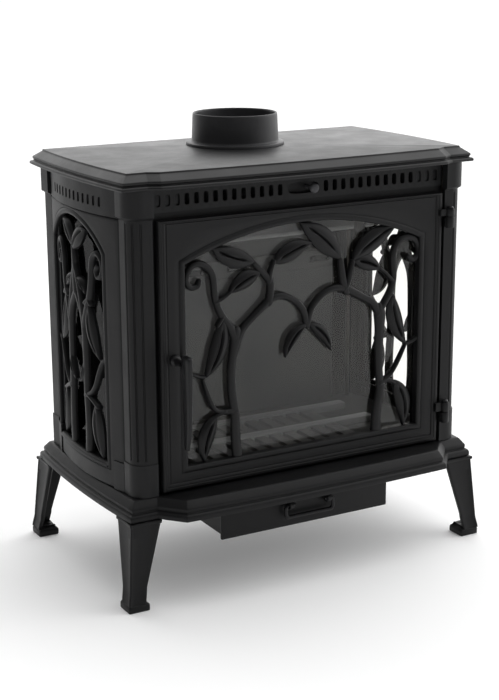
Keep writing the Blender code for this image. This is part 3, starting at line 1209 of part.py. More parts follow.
def build_ash_drawer():
    """The ash drawer: a steel pan behind a cast face, with two eyes and a swinging bail."""
    body = empty("ash_drawer_body", (0, 0, 0), ROOT)
    rear = ASH_BOX_REAR - ASH_BOX_WALL - DRAWER_REAR_GAP
    pan = box("ash_drawer", (-DRAWER_HALF, DRAWER_BACK_FACE - 0.001, DRAWER_FOOT),
              (DRAWER_HALF, rear, DRAWER_TOP))
    face = box("drawer_face", (-DRAWER_FACE_HALF, DRAWER_FRONT_FACE, ASH_BOX_FOOT - DRAWER_FACE_FOOT),
               (DRAWER_FACE_HALF, DRAWER_BACK_FACE, DRAWER_FACE_TOP))
    inner = DRAWER_HALF - DRAWER_WALL
    hollow = box("drawer_hollow", (-inner, DRAWER_BACK_FACE + DRAWER_WALL, DRAWER_FOOT + DRAWER_WALL),
                 (inner, rear - DRAWER_WALL, DRAWER_TOP + 0.01))
    place(cut(join(pan, [face]), [hollow]), "cast_iron", body)
    for name, sx in (("left", -1), ("right", 1)):
        x = sx * (BAIL_HALF - 0.002)
        eye = cylinder("drawer_eye_" + name, (x, BAIL_Y, BAIL_Z), EYE_RADIUS, EYE_THICKNESS, "X", 16)
        lug = box("lug", (x - EYE_THICKNESS / 2 + 0.0002, BAIL_Y, BAIL_Z - EYE_RADIUS * 0.8),
                  (x + EYE_THICKNESS / 2 - 0.0002, DRAWER_FRONT_FACE - TOUCH, BAIL_Z + EYE_RADIUS * 0.8))
        bore = cylinder("bore", (x, BAIL_Y, BAIL_Z), BAIL_RADIUS + RUNNING, EYE_THICKNESS + 0.01, "X", 16)
        place(cut(join(eye, [lug]), [bore]), "cast_iron", body)
    bail_body = empty("drawer_bail_body", (0, BAIL_Y, BAIL_Z), body)
    inner = BAIL_HALF - 0.002 - EYE_THICKNESS / 2 - 0.002
    outer = BAIL_HALF + EYE_THICKNESS / 2 + 0.004
    bend = BAIL_BEND
    half_route = [(inner, 0, 0), (outer - bend, 0, 0), (outer - bend * 0.3, 0, -bend * 0.3), (outer, 0, -bend),
                  (outer, 0, -BAIL_DROP + bend), (outer - bend * 0.3, 0, -BAIL_DROP + bend * 0.3),
                  (outer - bend, 0, -BAIL_DROP)]
    route = [(-x, y + BAIL_Y, z + BAIL_Z) for x, y, z in half_route]
    route += [(x, y + BAIL_Y, z + BAIL_Z) for x, y, z in reversed(half_route)]
    place(rod("drawer_bail", route, BAIL_RADIUS, 1), "dark_steel", bail_body)


clear_scene()
STOVE = new_collection("wood_burning_stove")
ROOT = empty("stove_root", (0, 0, 0))
build_base_plate()
build_tie_rods()
build_legs()
build_columns()
build_front_frame()
build_air_slider()
build_door()
build_hinges()
build_sides()
build_rear_panel()
build_top()
build_firebox()
build_ash_box()
build_ash_drawer()
ROOT.location.y = FRAME_SHIFT_Y
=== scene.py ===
"""Looks of a cast-iron wood burning stove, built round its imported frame.

Lengths are metres unless a name or a comment says millimetres.  +Z is up, -Y is the stove's front
and the floor is z = 0.  Every casting is a numpy surface: a profile carried along an outline, a
section carried along a route, or a turned profile.
"""

import logging
import math
from dataclasses import dataclass, field
from enum import Enum
from typing import Callable, Optional, Sequence

import bpy
import numpy as np
from mathutils import Matrix, Vector


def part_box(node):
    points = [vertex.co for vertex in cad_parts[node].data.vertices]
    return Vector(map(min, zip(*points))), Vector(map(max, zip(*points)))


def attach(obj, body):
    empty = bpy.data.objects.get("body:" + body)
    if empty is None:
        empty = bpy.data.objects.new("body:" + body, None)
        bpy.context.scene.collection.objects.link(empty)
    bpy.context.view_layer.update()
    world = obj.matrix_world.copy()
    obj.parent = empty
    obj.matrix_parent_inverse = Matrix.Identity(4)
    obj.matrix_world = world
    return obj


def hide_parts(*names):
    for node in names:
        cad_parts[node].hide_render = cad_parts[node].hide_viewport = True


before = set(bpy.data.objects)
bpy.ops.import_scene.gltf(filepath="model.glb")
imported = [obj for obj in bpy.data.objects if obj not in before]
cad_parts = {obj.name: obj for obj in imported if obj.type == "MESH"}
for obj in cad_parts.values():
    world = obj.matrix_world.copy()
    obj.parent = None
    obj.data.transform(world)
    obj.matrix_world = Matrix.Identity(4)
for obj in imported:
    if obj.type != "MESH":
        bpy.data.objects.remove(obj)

LOG = logging.getLogger("stove")
Array = np.ndarray
Route = Sequence[Sequence[float]]
MM = 0.001


# ------------------------------------------------------------------ skins
class Close(Enum):
    """How a stack of rings is closed along its length."""

    CAPPED = "a flat cap on the first and the last ring"
    LOOP = "the last ring joins the first"


@dataclass
class Shell:
    """One closed skin: points (n, 3), quads (m, 4) and flat caps, each a ring of point numbers."""

    points: Array
    quads: Array
    caps: list[Array] = field(default_factory=list)

    def volume(self) -> float:
        """Signed volume, the sum of a . (b x c) / 6 over the triangles of every face.

        Returns:
            The volume in cubic metres, negative when the faces point inwards.
        """
        fans = [self.quads[:, :3], self.quads[:, [0, 2, 3]]]
        fans += [np.stack([np.full(len(c) - 2, c[0]), c[1:-1], c[2:]], 1) for c in self.caps]
        a, b, c = np.moveaxis(self.points[np.concatenate(fans)], 1, 0)
        return float(np.einsum("ij,ij->", a, np.cross(b, c)) / 6)

    def outward(self) -> "Shell":
        """Returns the same skin with its faces pointing out."""
        if self.volume() >= 0:
            return self
        return Shell(self.points, self.quads[:, ::-1], [c[::-1] for c in self.caps])

    def carried(self, carry: Callable[[Array], Array]) -> "Shell":
        """Moves every point by one whole-array function.

        Args:
            carry: Takes the points (n, 3) and returns them in their new places.

        Returns:
            The moved skin, faces outward.
        """
        return Shell(carry(self.points), self.quads, self.caps).outward()


def skin(rings: Array, close: Close = Close.CAPPED) -> Shell:
    """Joins a stack of equal rings with quads: point j of ring i meets point j of ring i + 1.

    Args:
        rings: Points, shape (rings, points, 3).
        close: Whether the ends are capped or meet.

    Returns:
        The closed skin, faces outward.
    """
    rings = np.asarray(rings, float)
    count, around, _ = rings.shape
    number = np.arange(count * around).reshape(count, around)
    lower = number if close is Close.LOOP else number[:-1]
    upper = np.roll(number, -1, 0) if close is Close.LOOP else number[1:]
    quads = np.stack([lower, np.roll(lower, -1, 1), np.roll(upper, -1, 1), upper], -1).reshape(-1, 4)
    caps = [] if close is Close.LOOP else [number[0][::-1], number[-1]]
    return Shell(rings.reshape(-1, 3), quads, caps).outward()


# ------------------------------------------------------------------ outlines and routes
def grown(outline: Array, by: float) -> Array:
    """Moves a counter-clockwise outline out by `by`, or in where it is negative.

    Each point goes along the sum of its two edges' outward normals, over 1 plus their dot product,
    so that both edges move by the same amount.

    Args:
        outline: Closed outline, shape (n, 2).
        by: Distance in metres.

    Returns:
        The moved outline, shape (n, 2).
    """
    edge = np.roll(outline, -1, 0) - outline
    normal = np.column_stack([edge[:, 1], -edge[:, 0]]) / np.linalg.norm(edge, axis=1, keepdims=True)
    before = np.roll(normal, 1, 0)
    return outline + (normal + before) / (1 + np.sum(normal * before, 1, keepdims=True)) * by


def rounded(corners: Route, reach: float, steps: int = 4) -> Array:
    """Rounds every corner of a closed outline with a quadratic Bezier curve.

    Args:
        corners: The outline's corners, shape (n, 2), counter-clockwise.
        reach: How far along each side a curve starts and ends.
        steps: Segments in each curve.

    Returns:
        The rounded outline, shape (n * (steps + 1), 2).
    """
    here = np.asarray(corners, float)
    back = np.roll(here, 1, 0) - here
    on = np.roll(here, -1, 0) - here
    start = (here + back / np.linalg.norm(back, axis=1, keepdims=True) * reach)[:, None]
    end = (here + on / np.linalg.norm(on, axis=1, keepdims=True) * reach)[:, None]
    t = np.linspace(0, 1, steps + 1)[None, :, None]
    return ((1 - t) ** 2 * start + 2 * t * (1 - t) * here[:, None] + t**2 * end).reshape(-1, 2)


def softened(outline: Array, reach: float) -> Array:
    """Rounds an outline's corners a little; the same count of points comes out at any size."""
    return rounded(outline, reach, 2) if reach else outline


def dense(outline: Array, step: float) -> Array:
    """Splits each edge of a closed outline into equal pieces.

    Args:
        outline: Closed outline, shape (n, 2).
        step: The longest piece allowed.

    Returns:
        The outline with its new points.
    """
    edge = np.roll(outline, -1, 0) - outline
    pieces = np.maximum(np.ceil(np.linalg.norm(edge, axis=1) / step).astype(int), 1)
    first = np.repeat(np.cumsum(pieces) - pieces, pieces)
    share = (np.arange(pieces.sum()) - first) / np.repeat(pieces, pieces)
    return np.repeat(outline, pieces, 0) + np.repeat(edge, pieces, 0) * share[:, None]


def rectangle(half: float, low: float, high: float, reach: float = 0.001, steps: int = 3) -> Array:
    """A counter-clockwise rectangle about x = 0 with rounded corners."""
    return rounded([(-half, low), (half, low), (half, high), (-half, high)], reach, steps)


def circle(radius: float, around: int = 32) -> Array:
    """A counter-clockwise circle about the origin."""
    turn = np.linspace(0, 2 * np.pi, around, endpoint=False)
    return radius * np.column_stack([np.cos(turn), np.sin(turn)])


def level(outline: Array, height: float) -> Array:
    """Puts an outline (n, 2) at one height, giving points (n, 3)."""
    return np.column_stack([outline, np.full(len(outline), height)])


def flowing(route: Route, count: int) -> Array:
    """A Catmull-Rom curve through a route's points, with any number of columns.

    Args:
        route: Points the curve passes through, shape (k, columns).
        count: Samples, evenly spaced in the curve's own parameter.

    Returns:
        The samples, shape (count, columns).
    """
    p = np.asarray(route, float)
    p = np.vstack([2 * p[0] - p[1], p, 2 * p[-1] - p[-2]])
    s = np.linspace(0, len(p) - 3, count)
    i = np.minimum(s.astype(int), len(p) - 4)
    t = (s - i)[:, None]
    a, b, c, d = p[i], p[i + 1], p[i + 2], p[i + 3]
    return 0.5 * (2 * b + (c - a) * t + (2 * a - 5 * b + 4 * c - d) * t**2 + (3 * b - a - 3 * c + d) * t**3)


def ramp(value: Array, low: float, high: float) -> Array:
    """A smooth step, 3t2 - 2t3, from 0 at `low` to 1 at `high`."""
    t = np.clip((value - low) / (high - low), 0, 1)
    return t * t * (3 - 2 * t)


# ------------------------------------------------------------------ solids
def moulded(outline: Array, profile: Route, soften: float = 0.0) -> Shell:
    """A plate whose edge is a moulding: the outline grown by the profile's first column, at its second.

    Args:
        outline: Closed counter-clockwise plan, shape (n, 2).
        profile: (growth, height) pairs in millimetres from one flat face to the other.
        soften: Reach of the curve that rounds each of the outline's corners, in metres.

    Returns:
        The capped solid.
    """
    return skin(np.stack([level(softened(grown(outline, g * MM), soften), z * MM) for g, z in profile]))


def moulded_round_hole(outline: Array, profile: Route, soften: float, centre: Array,
                       hole: Callable[[Array], Array]) -> Shell:
    """A moulded plate with a hole, whose edge lies on the rays from `centre` to the outline's points.

    Args:
        outline: Closed plan that can be seen whole from `centre`.
        profile: (growth, height) pairs in millimetres, from the under face to the upper one.
        soften: Reach of the curve that rounds each of the outline's corners.
        centre: The hole's middle, shape (2,).
        hole: Turns unit rays (n, 2) into the distance of the hole's edge along each, shape (n,).

    Returns:
        The solid, closed through its hole.
    """
    rings = [level(softened(grown(outline, g * MM), soften), z * MM) for g, z in profile]
    ends = []
    for ring in (rings[0], rings[-1]):
        ray = ring[:, :2] - centre
        ray /= np.linalg.norm(ray, axis=1, keepdims=True)
        ends.append(level(centre + ray * hole(ray)[:, None], ring[0, 2]))
    return skin(np.stack([ends[0], *rings, ends[1]]), Close.LOOP)


def turned(profile: Route, around: int = 32, close: Close = Close.CAPPED) -> Shell:
    """A turned solid about +Z: each (radius, height) of the profile becomes a circle."""
    return skin(np.stack([level(circle(r * MM, around), z * MM) for r, z in profile]), close)


def block(size: Sequence[float], soft: float = 0.001) -> Shell:
    """A box about the origin with softened edges, a rounded plan whose rim is a quarter round.

    Args:
        size: Whole width, depth and height.
        soft: Size of the softened edges.

    Returns:
        The capped solid.
    """
    x, y, z = np.asarray(size) / 2
    plan = rounded([(-x, -y), (x, -y), (x, y), (-x, y)], min(soft * 1.5, x * 0.8, y * 0.8), 3)
    turn = np.linspace(0, np.pi / 2, 4)
    grow = -soft * (1 - np.sin(turn))
    height = z - soft * (1 - np.cos(turn))
    rings = [level(grown(plan, g), -h) for g, h in zip(grow, height)]
    rings += [level(grown(plan, g), h) for g, h in zip(grow[::-1], height[::-1])]
    return skin(np.stack(rings))


def swept(route: Array, section: Array, side: Sequence[float], close: Close = Close.CAPPED,
          scale: Optional[Array] = None) -> Shell:
    """Carries a section along a route: first column along `side`, second along tangent x side.

    Args:
        route: Points, shape (k, 3).
        section: Closed section, shape (n, 2).
        side: A direction that the route never runs along.
        close: Whether the route is open or a loop.
        scale: Size of the section at each point, shape (k,) or (k, 2).

    Returns:
        The swept skin.
    """
    if close is Close.LOOP:
        tangent = np.roll(route, -1, 0) - np.roll(route, 1, 0)
    else:
        tangent = np.gradient(route, axis=0)
    tangent /= np.linalg.norm(tangent, axis=1, keepdims=True)
    up = np.cross(tangent, np.asarray(side, float))
    up /= np.linalg.norm(up, axis=1, keepdims=True)
    across = np.cross(up, tangent)
    size = np.ones((len(route), 2)) if scale is None else np.broadcast_to(
        np.asarray(scale, float).reshape(len(route), -1), (len(route), 2))
    rings = (route[:, None] + across[:, None] * (section[None, :, :1] * size[:, None, :1])
             + up[:, None] * (section[None, :, 1:] * size[:, None, 1:]))
    return skin(rings, close)


def at(x: float, y: float, z: float) -> Callable[[Array], Array]:
    """A carrier that moves points by (x, y, z)."""
    return lambda p: p + np.array([x, y, z])


def facing_front(y: float) -> Callable[[Array], Array]:
    """A carrier from (across, up, out) to a plane that faces the front: x, z and y - out."""
    return lambda p: np.column_stack([p[:, 0], y - p[:, 2], p[:, 1]])


def along_front(x: float, y: float, z: float) -> Callable[[Array], Array]:
    """A carrier for a solid turned about +Z that is to point out of the stove's front from (x, y, z)."""
    return lambda p: np.column_stack([x + p[:, 0], y - p[:, 2], z + p[:, 1]])


# ------------------------------------------------------------------ foliage
LIMB_TURNS = 11
LIMB_SHOULDER = 0.30


def limb(route: Route, depth: float) -> Shell:
    """A cast limb with a flat back: its section is an upright shoulder under half an ellipse.

    The route's ends are round: there the centre runs on by w/2 sin(a) while the width falls by cos(a).

    Args:
        route: (across, up, width) points in millimetres.
        depth: Height of the limb's crown over its back, in metres.

    Returns:
        The limb in (across, up, out) coordinates.
    """
    curve = flowing(route, 6 * len(route) + 1) * MM
    centre, width = curve[:, :2], curve[:, 2:]
    tangent = np.gradient(centre, axis=0)
    tangent /= np.linalg.norm(tangent, axis=1, keepdims=True)
    turn = np.linspace(0, np.pi / 2, 5)[1:, None] * 0.98
    foot = centre[0] - tangent[0] * width[0] / 2 * np.sin(turn)
    head = centre[-1] + tangent[-1] * width[-1] / 2 * np.sin(turn)
    centre = np.vstack([foot[::-1], centre, head])
    tangent = np.vstack([np.repeat(tangent[:1], 4, 0), tangent, np.repeat(tangent[-1:], 4, 0)])
    width = np.vstack([(width[0] * np.cos(turn))[::-1], width, width[-1] * np.cos(turn)])
    normal = np.column_stack([-tangent[:, 1], tangent[:, 0]])
    arc = np.linspace(0, np.pi, LIMB_TURNS)
    side = np.concatenate([[1], np.cos(arc), [-1]])
    rise = np.concatenate([[0], LIMB_SHOULDER + (1 - LIMB_SHOULDER) * np.sin(arc), [0]])
    low = np.clip(width / width.max(), 0.25, 1) ** 0.35
    flat = centre[:, None] + normal[:, None] * (side[None, :, None] * width[:, None] / 2)
    return skin(np.concatenate([flat, (rise[None] * depth * low)[:, :, None]], 2))


def leaf(base: Sequence[float], tip: Sequence[float], width: float, depth: float, bend: float = 0.0) -> Shell:
    """A cast leaf: width sin(pi u^0.9)^0.8 along its length, crowned across it, with a groove for its vein.

    Args:
        base: Where the leaf leaves its stem, (across, up) in millimetres.
        tip: The leaf's point, (across, up) in millimetres.
        width: Its greatest width in millimetres.
        depth: Height of its crown over its back, in metres.
        bend: How far its middle line stands to the left of base to tip, as a share of its length.

    Returns:
        The leaf in (across, up, out) coordinates.
    """
    start, end = np.asarray(base, float) * MM, np.asarray(tip, float) * MM
    u = np.linspace(0, 1, 25)[:, None]
    line = end - start
    left = np.array([-line[1], line[0]])
    centre = start + line * u + left * bend * 4 * u * (1 - u)
    tangent = np.gradient(centre, axis=0)
    tangent /= np.linalg.norm(tangent, axis=1, keepdims=True)
    normal = np.column_stack([-tangent[:, 1], tangent[:, 0]])
    half = width * MM / 2 * np.sin(np.pi * np.clip(u, 0.004, 0.996) ** 0.9) ** 0.8
    v = np.linspace(1, -1, 17)[None]
    crown = 0.42 + 0.58 * (1 - np.abs(v) ** 2.6) * np.sin(np.pi * np.clip(u, 0.02, 0.98)) ** 0.4
    vein = 0.52 * np.exp(-((v * half / (1.7 * MM)) ** 2)) * ramp(u, 0.10, 0.30) * (1 - ramp(u, 0.72, 0.92))
    rise = depth * (crown - vein)
    ends = np.zeros((len(u), 1))
    side = np.concatenate([np.ones((1, 1)), v, -np.ones((1, 1))], 1)
    rise = np.concatenate([ends, rise, ends], 1)
    flat = centre[:, None] + normal[:, None] * (side[:, :, None] * half[:, None])
    return skin(np.concatenate([flat, rise[:, :, None]], 2))


# ------------------------------------------------------------------ arched panels and slotted strips
@dataclass
class ArchedPanel:
    """A panel with one opening: flat foot, upright sides and a segmental arch for its head.

    Coordinates are (across, up, out); `across` is measured from the opening's middle.
    """

    half: float
    foot: float
    apex: float
    rise: float
    foot_points: int = 8
    side_points: int = 14
    corner_points: int = 7
    head_points: int = 13

    @property
    def spring(self) -> float:
        """Height at which the arch springs from the sides."""
        return self.apex - self.rise

    def _closed(self, right: Array) -> Array:
        """Adds the mirrored left half to a right half that runs from foot to head."""
        return np.vstack([right, (right * [-1, 1])[-2:0:-1]])

    def opening(self) -> Array:
        """The opening's outline, counter-clockwise from the middle of its foot.

        The head is an arc of radius (half2 + rise2) / (2 rise).

        Returns:
            The outline, shape (n, 2).
        """
        radius = (self.half**2 + self.rise**2) / (2 * self.rise)
        start = math.atan2(radius - self.rise, self.half)
        foot = np.linspace(0, 1, self.foot_points, endpoint=False)
        side = np.linspace(0, 1, self.side_points, endpoint=False)
        turn = np.linspace(start, np.pi / 2, self.corner_points + self.head_points + 1)
        return self._closed(np.vstack([
            np.column_stack([self.half * foot, np.full_like(foot, self.foot)]),
            np.column_stack([np.full_like(side, self.half), self.foot + (self.spring - self.foot) * side]),
            np.column_stack([radius * np.cos(turn), self.apex - radius + radius * np.sin(turn)])]))

    def border(self, half: float, low: float, high: float) -> Array:
        """A rectangle with one point for each point of the opening, corner for corner.

        Args:
            half: Half its width.
            low: Its foot.
            high: Its head.

        Returns:
            The outline, shape (n, 2).
        """
        foot = np.linspace(0, 1, self.foot_points, endpoint=False)
        side = np.linspace(0, 1, self.side_points, endpoint=False)
        corner = np.linspace(0, 1, self.corner_points, endpoint=False)
        head = np.linspace(1, 0, self.head_points + 1)
        return self._closed(np.vstack([
            np.column_stack([half * foot, np.full_like(foot, low)]),
            np.column_stack([np.full_like(side, half), low + (self.spring - low) * side]),
            np.column_stack([np.full_like(corner, half), self.spring + (high - self.spring) * corner]),
            np.column_stack([half * head, np.full_like(head, high)])]))

    def ring(self, inner: Route, outer: Sequence[tuple[Array, float]], spans: int = 1,
             opening: Optional[Array] = None) -> Shell:
        """A frame whose section runs from the opening's back edge, over its face, to the border's back.

        Args:
            inner: (growth, out) pairs in millimetres about the opening.
            outer: Border outlines with their heights out, in metres, the last at the back.
            spans: Rings that split the flat face and the flat back.
            opening: Another outline with as many points, where the opening isn't plain.

        Returns:
            The closed frame.
        """
        hole = self.opening() if opening is None else opening
        rings = [level(grown(hole, g * MM), w * MM) for g, w in inner]
        edge = [level(outline, w) for outline, w in outer]
        share = np.linspace(0, 1, spans + 1)[1:-1, None, None]
        face = rings[-1] + (edge[0] - rings[-1]) * share
        back = edge[-1] + (rings[0] - edge[-1]) * share
        return skin(np.concatenate([np.stack(rings), face, np.stack(edge), back]), Close.LOOP)


def slotted_strip(middles: Array, cell_half: Array, slot_half: Array, low: float, high: float,
                  slot_middle: float, slot_rise: float, thick: float) -> Shell:
    """A strip of upright slots in a row, one cell to a slot, in (across, up, out) coordinates.

    A cell's section runs from its slot's back edge to the front one, over the face to the cell's
    edge, and round the back.  Cells share their edges, and the walls between them are left out.

    Args:
        middles: Middle of each cell, left to right, shape (k,).
        cell_half: Half width of each cell; the cells meet.
        slot_half: Half width of each slot.
        low: The strip's foot.
        high: The strip's head.
        slot_middle: Height of the slots' middle.
        slot_rise: Half height of the slots.
        thick: The strip's thickness.

    Returns:
        The closed strip.
    """
    soft = 0.0006
    turn = np.linspace(0, 2 * np.pi, 24, endpoint=False) + np.pi / 24
    unit = np.sign(np.column_stack([np.cos(turn), np.sin(turn)])) * np.abs(
        np.column_stack([np.cos(turn), np.sin(turn)])) ** 0.55
    size = np.stack([slot_half, np.full_like(slot_half, slot_rise)], -1)[:, None]
    centre = np.stack([middles, np.full_like(middles, slot_middle)], -1)[:, None]
    slot = centre + unit * size
    wide = centre + unit * (size + soft)
    box_low = np.stack([middles - cell_half, np.full_like(middles, low)], -1)[:, None]
    box_high = np.stack([middles + cell_half, np.full_like(middles, high)], -1)[:, None]
    reach = np.where(unit > 0, box_high - centre, centre - box_low) / np.abs(unit)
    edge = centre + unit * reach.min(-1, keepdims=True)
    corners = np.array([[1, 1], [-1, 1], [-1, -1], [1, -1]])
    aim = np.where(corners[None] > 0, box_high, box_low)
    nearest = np.linalg.norm(edge[:, :, None] - aim[:, None], axis=-1).argmin(1)
    edge[np.arange(len(middles))[:, None], nearest] = aim
    heights = np.array([0, thick - soft, thick, thick, 0])
    rings = np.stack([slot, slot, wide, edge, edge], 1)
    rings = np.concatenate([rings, np.broadcast_to(heights[None, :, None, None], rings.shape[:3] + (1,))], -1)
    one = skin(rings[0], Close.LOOP)
    points = rings.reshape(-1, 3)
    step = rings.shape[1] * rings.shape[2]
    quads = (one.quads[None] + (np.arange(len(middles)) * step)[:, None, None]).reshape(-1, 4)
    across = points[quads][:, :, 0]
    wall = np.ptp(across, axis=1) < 1e-7
    wall &= np.ptp(points[quads][:, :, 2], axis=1) > thick * 0.9
    seams = (middles + cell_half)[:-1]
    inner = np.abs(across[:, :1] - seams[None]).min(1) < 1e-6
    quads = quads[~(wall & inner)]
    _, first, same = np.unique(np.round(points / 1e-7).astype(np.int64), axis=0,
                               return_index=True, return_inverse=True)
    return Shell(points[first], same.reshape(-1)[quads]).outward()


# ------------------------------------------------------------------ finishes
def linear(hex_colour: str) -> tuple[float, float, float, float]:
    """Turns an sRGB colour to linear: c / 12.92 in the darks, else ((c + 0.055) / 1.055) to the 2.4.

    Args:
        hex_colour: The colour, as #rrggbb.

    Returns:
        Linear red, green and blue, and an alpha of 1.
    """
    parts = np.array([int(hex_colour[k:k + 2], 16) for k in (1, 3, 5)]) / 255
    light = np.where(parts <= 0.04045, parts / 12.92, ((parts + 0.055) / 1.055) ** 2.4)
    return (*(float(c) for c in light), 1.0)


def add(tree: bpy.types.NodeTree, kind: str, values: Optional[dict] = None, links: Optional[dict] = None,
        **settings: object) -> bpy.types.Node:
    """Adds one node.

    Args:
        tree: The node tree it goes into.
        kind: Its type name.
        values: Default values by socket name or number.
        links: Output sockets to link, by input socket name or number.
        **settings: Attributes of the node.

    Returns:
        The node.
    """
    made = tree.nodes.new(kind)
    for name, value in settings.items():
        setattr(made, name, value)
    for socket, value in (values or {}).items():
        made.inputs[socket].default_value = value
    for socket, source in (links or {}).items():
        tree.links.new(source, made.inputs[socket])
    return made


@dataclass(frozen=True)
class Finish:
    """A surface finish. `build` links its shader to the material's output."""

    name: str

    def build(self, tree: bpy.types.NodeTree, output: bpy.types.Node) -> None:
        """Adds the finish's nodes."""
        raise NotImplementedError

    def material(self) -> bpy.types.Material:
        """Returns the finish's material, made on first use."""
        found = bpy.data.materials.get(self.name)
        if found is not None:
            return found
        made = bpy.data.materials.new(self.name)
        made.use_nodes = True
        made.node_tree.nodes.clear()
        self.build(made.node_tree, add(made.node_tree, "ShaderNodeOutputMaterial"))
        return made


@dataclass(frozen=True)
class PaintedIron(Finish):
    """Metal under heat-proof stove paint: a dull black film that follows the sand grain of the casting.

    The grain breaks up every highlight, the slow ripple bends it, the mottle shows where the film
    is thicker, and the paint is thinner and paler along edges.
    """

    dark: str = "#0e0e0f"
    pale: str = "#141415"
    edge: str = "#262728"
    roughness: float = 0.48
    rough_spread: float = 0.10
    gloss: float = 0.21
    grain_mm: float = 1.6          # sand grain is 0.3 mm; drawn coarser so that it shows
    grain_depth_mm: float = 0.10
    ripple_mm: float = 28.0
    ripple_depth_mm: float = 0.35
    mottle_mm: float = 60.0

    def build(self, tree: bpy.types.NodeTree, output: bpy.types.Node) -> None:
        """Adds the finish's nodes.

        Args:
            tree: The material's node tree.
            output: The material's output node.
        """
        where = add(tree, "ShaderNodeTexCoord").outputs["Object"]
        grain = add(tree, "ShaderNodeTexNoise", {"Scale": 1 / (self.grain_mm * MM), "Detail": 3.0,
                                                 "Roughness": 0.6}, {"Vector": where})
        ripple = add(tree, "ShaderNodeTexNoise", {"Scale": 1 / (self.ripple_mm * MM), "Detail": 2.0},
                     {"Vector": where})
        mottle = add(tree, "ShaderNodeTexNoise", {"Scale": 1 / (self.mottle_mm * MM), "Detail": 5.0,
                                                  "Roughness": 0.65}, {"Vector": where})
        patch = add(tree, "ShaderNodeMapRange", {"From Min": 0.32, "From Max": 0.68},
                    {"Value": mottle.outputs["Fac"]})
        film = add(tree, "ShaderNodeMix", {6: linear(self.dark), 7: linear(self.pale)},
                   {0: patch.outputs["Result"]}, data_type="RGBA")
        ridge = add(tree, "ShaderNodeNewGeometry").outputs["Pointiness"]
        worn = add(tree, "ShaderNodeMapRange", {"From Min": 0.54, "From Max": 0.66, "To Max": 0.6},
                   {"Value": ridge})
        colour = add(tree, "ShaderNodeMix", {7: linear(self.edge)},
                     {0: worn.outputs["Result"], 6: film.outputs[2]}, data_type="RGBA")
        rough = add(tree, "ShaderNodeMapRange", {"From Min": 0.3, "From Max": 0.7,
                                                 "To Min": self.roughness - self.rough_spread / 2,
                                                 "To Max": self.roughness + self.rough_spread / 2},
                    {"Value": mottle.outputs["Fac"]})
        slow = add(tree, "ShaderNodeBump", {"Strength": 1.0, "Distance": self.ripple_depth_mm * MM},
                   {"Height": ripple.outputs["Fac"]})
        fine = add(tree, "ShaderNodeBump", {"Strength": 1.0, "Distance": self.grain_depth_mm * MM},
                   {"Height": grain.outputs["Fac"], "Normal": slow.outputs["Normal"]})
        shader = add(tree, "ShaderNodeBsdfPrincipled",
                     {"Metallic": 0.0, "IOR": 1.5, "Specular IOR Level": self.gloss},
                     {"Base Color": colour.outputs[2], "Roughness": rough.outputs["Result"],
                      "Normal": fine.outputs["Normal"]})
        tree.links.new(shader.outputs[0], output.inputs["Surface"])


@dataclass(frozen=True)
class BareMetal(Finish):
    """Bare steel, turned or drawn: fine lines run round or along it and carry a film of heat tint."""

    tone: str = "#6b6863"
    tint: str = "#4c4641"
    roughness: float = 0.38
    line_mm: float = 0.8

    def build(self, tree: bpy.types.NodeTree, output: bpy.types.Node) -> None:
        """Adds the finish's nodes.

        Args:
            tree: The material's node tree.
            output: The material's output node.
        """
        where = add(tree, "ShaderNodeTexCoord").outputs["Object"]
        drawn = add(tree, "ShaderNodeMapping", {"Scale": (1.0, 1.0, 12.0)}, {"Vector": where})
        lines = add(tree, "ShaderNodeTexNoise", {"Scale": 1 / (self.line_mm * 12 * MM), "Detail": 4.0},
                    {"Vector": drawn.outputs[0]})
        stain = add(tree, "ShaderNodeTexNoise", {"Scale": 60.0, "Detail": 3.0}, {"Vector": where})
        colour = add(tree, "ShaderNodeMix", {6: linear(self.tone), 7: linear(self.tint)},
                     {0: stain.outputs["Fac"]}, data_type="RGBA")
        rough = add(tree, "ShaderNodeMapRange", {"To Min": self.roughness - 0.08,
                                                 "To Max": self.roughness + 0.12},
                    {"Value": lines.outputs["Fac"]})
        bump = add(tree, "ShaderNodeBump", {"Strength": 0.6, "Distance": 0.05 * MM},
                   {"Height": lines.outputs["Fac"]})
        shader = add(tree, "ShaderNodeBsdfPrincipled", {"Metallic": 1.0},
                     {"Base Color": colour.outputs[2], "Roughness": rough.outputs["Result"],
                      "Normal": bump.outputs["Normal"]})
        tree.links.new(shader.outputs[0], output.inputs["Surface"])


